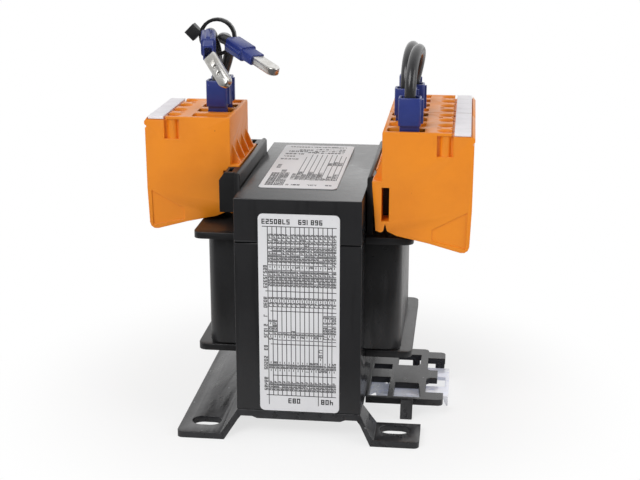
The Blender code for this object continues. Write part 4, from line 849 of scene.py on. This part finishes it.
class TRANSFORMER_OT_lay_free_jumpers(bpy.types.Operator):
    """Lay the two jumper leads whose far plugs hang free, with their plugs, contacts and tie"""

    bl_idname = "transformer.lay_free_jumpers"
    bl_label = "Free jumper leads"

    def execute(self, context):
        given, edge = settings(context).lead, settings(context).edge
        sides = ("front", FRONT_ROUTE, FRONT_MOUTH, FRONT_AIM), ("rear", REAR_ROUTE, REAR_MOUTH, REAR_AIM)
        for tag, route, mouth, aim in sides:
            aim = np.array(aim) / np.linalg.norm(aim)
            mouth = np.array(mouth)
            points = np.vstack((route, mouth - 2.0 * aim, mouth + SLEEVE_REACH * aim))
            path = smooth_route(points * MM, given.steps)
            lead = tube("free_lead_" + tag, path, given.diameter / 2, given.sides, (1.0, 0.2, 0.1))
            settle(lead, "lead", "lead", BODY, "jumper_lead_left_" + tag)
            slim = (mouth * MM, aim, FREE_PLUG_SHARE)
            pieces = [
                softened("jumper_plug_free_" + tag, edge.plug, "plug", slim=slim),
                softened("jumper_contact_free_" + tag, edge.contact, "contact"),
            ]
            if tag == "front":
                pieces.append(softened("cable_tie", edge.plug, "tie"))
        return {"FINISHED"}


class TRANSFORMER_OT_arch_held_jumpers(bpy.types.Operator):
    """Arch the two jumper leads that are plugged in at both ends"""

    bl_idname = "transformer.arch_held_jumpers"
    bl_label = "Held jumper leads"

    def execute(self, context):
        given = settings(context).lead
        for number, (x, lean, sway, rise, y0, y1) in enumerate(HELD_LEADS, 1):
            angle = np.pi * np.linspace(0, 1, given.steps)
            across = x + lean * np.sin(angle) - sway * np.sin(angle) * np.cos(angle)
            along = (y0 + y1) / 2 - (y1 - y0) / 2 * np.cos(angle)
            arch = np.stack((across, along, HELD_FOOT + rise * np.sin(angle)), -1)
            middle = (LEAD_SEAT + HELD_FOOT) / 2
            climb = np.array(((x, y0, LEAD_SEAT), (x, y0, middle)))
            drop = np.array(((x, y1, middle), (x, y1, LEAD_SEAT)))
            path = np.vstack((climb, arch, drop)) * MM
            lead = tube(f"held_lead_{number}", path, given.diameter / 2, given.sides, (1.0, 0.0, 0.0))
            settle(lead, "lead", "lead", BODY, f"jumper_lead_right_{number}")
        return {"FINISHED"}


class TRANSFORMER_OT_finish_core(bpy.types.Operator):
    """Soften and varnish the two lamination stacks and their weld beads"""

    bl_idname = "transformer.finish_core"
    bl_label = "Core"

    def execute(self, context):
        width = settings(context).edge.core
        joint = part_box("core_i_stack")[0][2]
        for node in ("core_e_stack", "core_i_stack"):
            softened(node, width, "lamination", joint=joint)
        dress("weld", "core_weld_front", "core_weld_rear")
        return {"FINISHED"}


class TRANSFORMER_OT_finish_bobbin(bpy.types.Operator):
    """Soften the bobbin's flanges, walls and posts"""

    bl_idname = "transformer.finish_bobbin"
    bl_label = "Bobbin"

    def execute(self, context):
        piece = softened("bobbin", settings(context).edge.bobbin, "bobbin")
        places = read(piece.data.vertices, "co", 3)
        ends = (places[:, 2] < FLANGE_BELOW * MM) & (np.abs(places[:, 1]) > FLANGE_BEYOND * MM)
        places[ends, 1] -= np.sign(places[ends, 1]) * FLANGE_DRAWN * MM
        piece.data.vertices.foreach_set("co", places.ravel())
        return {"FINISHED"}


class TRANSFORMER_OT_finish_windings(bpy.types.Operator):
    """Finish the windings, their insulation and the outer wrap"""

    bl_idname = "transformer.finish_windings"
    bl_label = "Windings"

    def execute(self, context):
        dress("copper", "primary_winding", "secondary_winding")
        dress("film", "interlayer_insulation")
        softened("outer_wrap", settings(context).edge.wrap, "wrap", segments=3)
        return {"FINISHED"}


class TRANSFORMER_OT_finish_base_frame(bpy.types.Operator):
    """Round the base frame's pressed edges and give it its dipped finish"""

    bl_idname = "transformer.finish_base_frame"
    bl_label = "Base frame"

    def execute(self, context):
        softened("base_frame", settings(context).edge.sheet, "frame", segments=3)
        return {"FINISHED"}


class TRANSFORMER_OT_finish_rail_clip(bpy.types.Operator):
    """Draw the pierced rail clip plate with its hooks, claws, legs and tab, and finish its rivets"""

    bl_idname = "transformer.finish_rail_clip"
    bl_label = "Rail clip"

    def execute(self, context):
        shape = bmesh.new()
        angle = 2 * np.pi * np.arange(24) / 24
        circle = RIVET_HOLE * np.stack((np.cos(angle), np.sin(angle)), -1)
        holes = tuple(circle + (x, 0.0) for x in RIVET_PLACES)
        draw_out(shape, (CLIP_PLAN, *CLIP_WINDOWS, *holes), "XY", CLIP_LOW, CLIP_HIGH)
        for span in HOOK_SPANS:
            draw_out(shape, (CLIP_HOOK,), "XZ", *span)
        for side in (-1, 1):
            draw_out(shape, (CLIP_CLAW * (side, 1.0),), "YZ", *CLAW_SPAN)
        for x0, y0, x1, y1, low in CLIP_LEGS:
            draw_out(shape, (((x0, y0), (x1, y0), (x1, y1), (x0, y1)),), "XY", low, LEG_TOP)
        draw_out(shape, (CLIP_TAB,), "YZ", *TAB_SPAN)
        bmesh.ops.recalc_face_normals(shape, faces=shape.faces)
        mesh = bpy.data.meshes.new("rail_clip_pierced")
        shape.to_mesh(mesh)
        shape.free()
        piece = new_piece("rail_clip_pierced", mesh)
        rounded(piece, settings(context).edge.clip)
        settle(piece, "clip", "frame", BODY, "rail_clip_plate")
        dress("clip", "clip_rivet_1", "clip_rivet_2")
        return {"FINISHED"}


class TRANSFORMER_OT_finish_latch(bpy.types.Operator):
    """Finish the sliding latch in bright zinc, and its spring"""

    bl_idname = "transformer.finish_latch"
    bl_label = "Latch"

    def execute(self, context):
        softened("rail_latch", settings(context).edge.latch, "zinc", LATCH)
        dress("spring_steel", "latch_spring")
        return {"FINISHED"}


class TRANSFORMER_OT_finish_terminal_blocks(bpy.types.Operator):
    """Soften the three terminal housings and finish the contacts in them"""

    bl_idname = "transformer.finish_terminal_blocks"
    bl_label = "Terminal blocks"

    def execute(self, context):
        width = settings(context).edge.moulding
        for place in BLOCK_PLACES:
            softened("terminal_block_" + place, width, "housing")
        dress("contact", *(f"clamp_contact_{number:02d}" for number in range(1, 13)))
        return {"FINISHED"}


class TRANSFORMER_OT_finish_marker_strips(bpy.types.Operator):
    """Soften the three marker strips"""

    bl_idname = "transformer.finish_marker_strips"
    bl_label = "Marker strips"

    def execute(self, context):
        for place in BLOCK_PLACES:
            softened("marker_strip_" + place, settings(context).edge.marker, "marker")
        return {"FINISHED"}


class TRANSFORMER_OT_finish_jumper_plugs(bpy.types.Operator):
    """Soften the six plugged-in jumper plugs and finish their contacts"""

    bl_idname = "transformer.finish_jumper_plugs"
    bl_label = "Jumper plugs"

    def execute(self, context):
        width = settings(context).edge.plug
        for place in ("right_1", "right_2", "right_3", "right_4", "left_front", "left_rear"):
            node = "jumper_plug_" + place
            middle = np.mean(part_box(node), axis=0)
            slim = (middle, np.array((0.0, 0.0, 1.0)), HELD_PLUG_SHARE)
            softened(node, width, "plug", slim=slim)
            dress("contact", "jumper_contact_" + place)
        return {"FINISHED"}


class TRANSFORMER_OT_print_front_label(bpy.types.Operator):
    """Print the front label with plain rules and rows of plain numerals"""

    bl_idname = "transformer.print_front_label"
    bl_label = "Front label"

    def execute(self, context):
        dress("label", "front_label")
        low, high = (np.array(corner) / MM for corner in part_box("front_label"))
        draw = np.random.default_rng(7)
        marks = Print()
        left, pitch, columns = low[0] + 2.75, 1.335, 15
        thin = 0.20
        rules = high[2] - 60.6 * np.array((0.0616, 0.3825, 0.483, 0.652, 0.8137, 0.918))
        starts = low[0] + np.array((1.2, 2.0, 3.4, 3.4, 3.9, 2.0))
        for v, u in zip(rules, starts):
            marks.bar(u, v - thin / 2, high[0] - 0.9, v + thin / 2)
        for column in range(columns):
            u = left + pitch * column
            end = rules[5] - (3.0 if column in (0, 11) else 0.0)
            marks.bar(u - thin / 2, end, u + thin / 2, rules[0])
        top = high[2]
        height = 1.0
        bands = (
            (5.9, 0, columns, (2, 4, 7, 2, 1, 5, 8, 4, 8, 2, 6, 1, DASH, 1, 8, 4, 6, 2, 9, 5)),
            (25.0, 0, columns, (0, DASH, 2, 7)),
            (32.0, 0, 2, (9, DASH, 1, 0, 3, 7, DASH, 2)),
            (35.3, 2, 12, (1, 3, DASH, 1)),
            (29.8, 12, columns, (1, 0, DASH, 2, 1, 1, 0, 9, DASH, 7, 1)),
            (45.0, 0, columns, (DASH, 8, 0, DASH)),
            (40.4, 11, 12, (1, 7, 1, 5, DASH)),
            (51.2, 0, columns, (4, 8, 2, 0)),
        )
        for start, first, last, string in bands:
            for column in range(first, last):
                digits = np.where(draw.random(len(string)) < 0.18, draw.integers(0, 10, len(string)), string)
                u = left + pitch * column + 0.17
                marks.numerals(digits, (u + height, top - start), (0, -1), (-1, 0), height)
        headings = ((15.4, 22.6), (25.0, 29.0), (30.4, 32.0), (33.4, 38.4), (40.0, 42.4), (43.4, 48.4), (50.0, 55.0))
        for start, end in headings:
            count = int((end - start) / 0.88)
            marks.numerals(draw.integers(0, 10, count), (left - 0.25, top - start), (0, -1), (-1, 0), 1.1)
        ends = (7, 9.2, 1.5, 1.5), (6, 18.6, 1.5, 1.5), (3, 12.0, 56.5, 1.6), (3, 21.8, 56.5, 1.6)
        for count, u, down, tall in ends:
            marks.numerals(draw.integers(0, 10, count), (low[0] + u, top - down), (-1, 0), (0, -1), tall)
        outer = low[1] * MM
        marks.make("front_label_print", "XZ", outer - 0.02 * MM, outer + 0.002 * MM)
        return {"FINISHED"}


class TRANSFORMER_OT_print_top_label(bpy.types.Operator):
    """Print the top label with plain rules and rows of plain numerals"""

    bl_idname = "transformer.print_top_label"
    bl_label = "Top label"

    def execute(self, context):
        dress("label", "top_label")
        low, high = (np.array(corner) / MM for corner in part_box("top_label"))
        width, length = high[0] - low[0], high[1] - low[1]
        draw = np.random.default_rng(11)
        marks = Print()
        thin = 0.22

        def column(u, v, digits, tall):
            start = (low[0] + width * u + tall, low[1] + length * v)
            marks.numerals(digits, start, (0, 1), (-1, 0), tall)

        def row(u, v, digits, tall):
            marks.numerals(digits, (low[0] + width * u, low[1] + length * v), (1, 0), (0, 1), tall)

        rules = np.linspace(0.40, 0.95, 9)
        ends = np.array((0.70, 0.76, 0.76, 0.76, 0.76, 0.76, 0.76, 0.74, 0.72))
        for u, end in zip(rules, ends):
            x = low[0] + width * u
            marks.bar(x - thin / 2, low[1] + length * 0.17, x + thin / 2, low[1] + length * end)
        step = rules[1] - rules[0]
        for number, u in enumerate(rules - step * 0.9):
            column(u, 0.17, draw.integers(0, 10, (9, 12, 8, 12, 9, 11, 3, 6, 9)[number]), 1.15)
            if number > 5:
                column(u, 0.50, draw.integers(0, 10, (4, 6, 5)[number - 6]), 1.15)
        column(0.06, 0.05, (8, 8, 0, 8, 8, 6, 8, 9, 8), 2.3)
        for u, v, count, tall in ((0.17, 0.05, 17, 1.5), (0.24, 0.05, 16, 1.3), (0.07, 0.42, 6, 1.2)):
            column(u, v, draw.integers(0, 10, count), tall)
        rows = (
            (0.33, 0.055, 3, 1.3), (0.43, 0.055, 2, 1.3), (0.60, 0.055, 3, 1.3), (0.84, 0.055, 2, 1.3),
            (0.07, 0.82, 5, 1.8), (0.07, 0.76, 5, 1.6), (0.07, 0.70, 4, 1.2), (0.05, 0.63, 5, 1.5),
            (0.08, 0.94, 17, 1.2), (0.64, 0.94, 7, 1.1), (0.24, 0.86, 4, 1.5), (0.38, 0.80, 3, 1.6),
        )
        for u, v, count, tall in rows:
            row(u, v, draw.integers(0, 10, count), tall)
        for v in (0.79, 0.835, 0.88):
            row(0.47, v, np.where(draw.random(9) < 0.3, DASH, 8), 1.4)
        outer = high[2] * MM
        marks.make("top_label_print", "XY", outer - 0.002 * MM, outer + 0.02 * MM)
        return {"FINISHED"}


class TRANSFORMER_OT_set_stage(bpy.types.Operator):
    """Set the plain pale floor, the white surround and the soft lights"""

    bl_idname = "transformer.set_stage"
    bl_label = "Stage"

    def execute(self, context):
        given = settings(context).light
        context.scene.view_settings.view_transform = "Standard"
        self.lay_floor(given)
        self.light_surround(context, given)
        self.hang_lamp(context, "key_light", given.key, (-0.45, -0.75, 0.75), 0.7)
        self.hang_lamp(context, "fill_light", given.fill, (0.80, -0.35, 0.45), 0.6)
        return {"FINISHED"}

    def lay_floor(self, given):
        """A floor plane that the camera sees as near white, and that dims in reflections ahead of the object."""
        corners = FLOOR_HALF * np.array(((-1, -1, 0), (1, -1, 0), (1, 1, 0), (-1, 1, 0)))
        floor = new_surface("floor", corners, [(0, 1, 2, 3)])
        base = bpy.data.materials.new("pale_floor")
        base.use_nodes = True
        graph = Graph(base.node_tree)
        shader = base.node_tree.nodes["Principled BSDF"]
        tint = graph.span(graph.noise(graph.place(), 9.0, 3.0), 0.3, 0.7, 0.985, 1.0)
        graph.feed(shader.inputs["Base Color"], graph.vector("MULTIPLY", tint, tuple(given.floor)))
        shader.inputs["Roughness"].default_value = 0.9
        shader.inputs["Specular IOR Level"].default_value = 0.0
        glow = graph.node("Emission")
        rays = graph.node("LightPath").outputs
        away = graph.span(graph.vector("LENGTH", graph.place(), output=1), 0.05, 0.11, 0.72, 1.0)
        seen = graph.math("MULTIPLY", away, rays["Is Camera Ray"])
        ahead = graph.span(graph.part(graph.place(), 1), -0.02, -0.10, 0.0, 0.85)
        dim = graph.node("Emission")
        dim.inputs["Strength"].default_value = 0.0
        mirrored = graph.math("MULTIPLY", ahead, rays["Is Glossy Ray"])
        plain = graph.pass_over(mirrored, shader.outputs[0], dim.outputs[0])
        whole = graph.pass_over(seen, plain, glow.outputs[0])
        graph.feed(base.node_tree.nodes["Material Output"].inputs[0], whole)
        floor.data.materials.append(base)

    def light_surround(self, context, given):
        """White for the camera, and in reflections bright from behind and dim from the front."""
        world = context.scene.world or bpy.data.worlds.new("surround")
        context.scene.world = world
        world.use_nodes = True
        graph = Graph(world.node_tree)
        background = world.node_tree.nodes["Background"]
        ahead = graph.part(graph.node("TexCoord").outputs["Generated"], 1)
        behind = graph.span(ahead, -0.6, 0.5, 0.45, 1.0)
        seen = graph.node("LightPath").outputs
        strength = graph.math("MULTIPLY", given.surround, behind)
        mirrored = graph.span(ahead, -0.7, 0.6, 0.10, 1.15)
        strength = graph.blend(seen["Is Glossy Ray"], strength, mirrored)
        strength = graph.math("MAXIMUM", strength, seen["Is Transmission Ray"])
        strength = graph.math("MAXIMUM", strength, seen["Is Camera Ray"])
        background.inputs["Color"].default_value = (1.0, 1.0, 1.0, 1.0)
        graph.feed(background.inputs["Strength"], strength)

    def hang_lamp(self, context, name, power, place, size):
        data = bpy.data.lights.new(name, "AREA")
        data.shape = "DISK"
        data.energy = power
        data.size = size
        lamp = bpy.data.objects.new(name, data)
        context.scene.collection.objects.link(lamp)
        lamp.location = place
        lamp.rotation_euler = (Vector((0.0, 0.0, 0.05)) - lamp.location).to_track_quat("-Z", "Y").to_euler()


OPERATORS = (
    TRANSFORMER_OT_place_camera,
    TRANSFORMER_OT_lay_free_jumpers,
    TRANSFORMER_OT_arch_held_jumpers,
    TRANSFORMER_OT_finish_core,
    TRANSFORMER_OT_finish_bobbin,
    TRANSFORMER_OT_finish_windings,
    TRANSFORMER_OT_finish_base_frame,
    TRANSFORMER_OT_finish_rail_clip,
    TRANSFORMER_OT_finish_latch,
    TRANSFORMER_OT_finish_terminal_blocks,
    TRANSFORMER_OT_finish_marker_strips,
    TRANSFORMER_OT_finish_jumper_plugs,
    TRANSFORMER_OT_print_front_label,
    TRANSFORMER_OT_print_top_label,
    TRANSFORMER_OT_set_stage,
)


class TRANSFORMER_PT_pieces(bpy.types.Panel):
    """The transformer's sizes, colours and pieces"""

    bl_idname = "TRANSFORMER_PT_pieces"
    bl_label = "Mains transformer"
    bl_space_type = "VIEW_3D"
    bl_region_type = "UI"
    bl_category = "Transformer"

    def draw(self, context):
        given = settings(context)
        for group in (given.camera, given.lead, given.edge, given.colour, given.light):
            box = self.layout.box()
            for name in group.__annotations__:
                box.prop(group, name)
        column = self.layout.column()
        for operator in OPERATORS:
            column.operator(operator.bl_idname)


GROUPS = (CameraSettings, LeadSettings, EdgeSettings, ColourSettings, LightSettings, TransformerSettings)


def register():
    for kind in GROUPS + OPERATORS + (TRANSFORMER_PT_pieces,):
        bpy.utils.register_class(kind)
    bpy.types.Scene.mains_transformer = bpy.props.PointerProperty(type=TransformerSettings)


def unregister():
    del bpy.types.Scene.mains_transformer
    for kind in reversed(GROUPS + OPERATORS + (TRANSFORMER_PT_pieces,)):
        bpy.utils.unregister_class(kind)


EFFECTS = {}
FINISHES = {}


def main():
    register()
    EFFECTS.update(make_effects())
    FINISHES.update(make_finishes(bpy.context.scene.mains_transformer.colour))
    for operator in OPERATORS:
        group, name = operator.bl_idname.split(".")
        getattr(getattr(bpy.ops, group), name)()


if __name__ == "__main__":
    main()
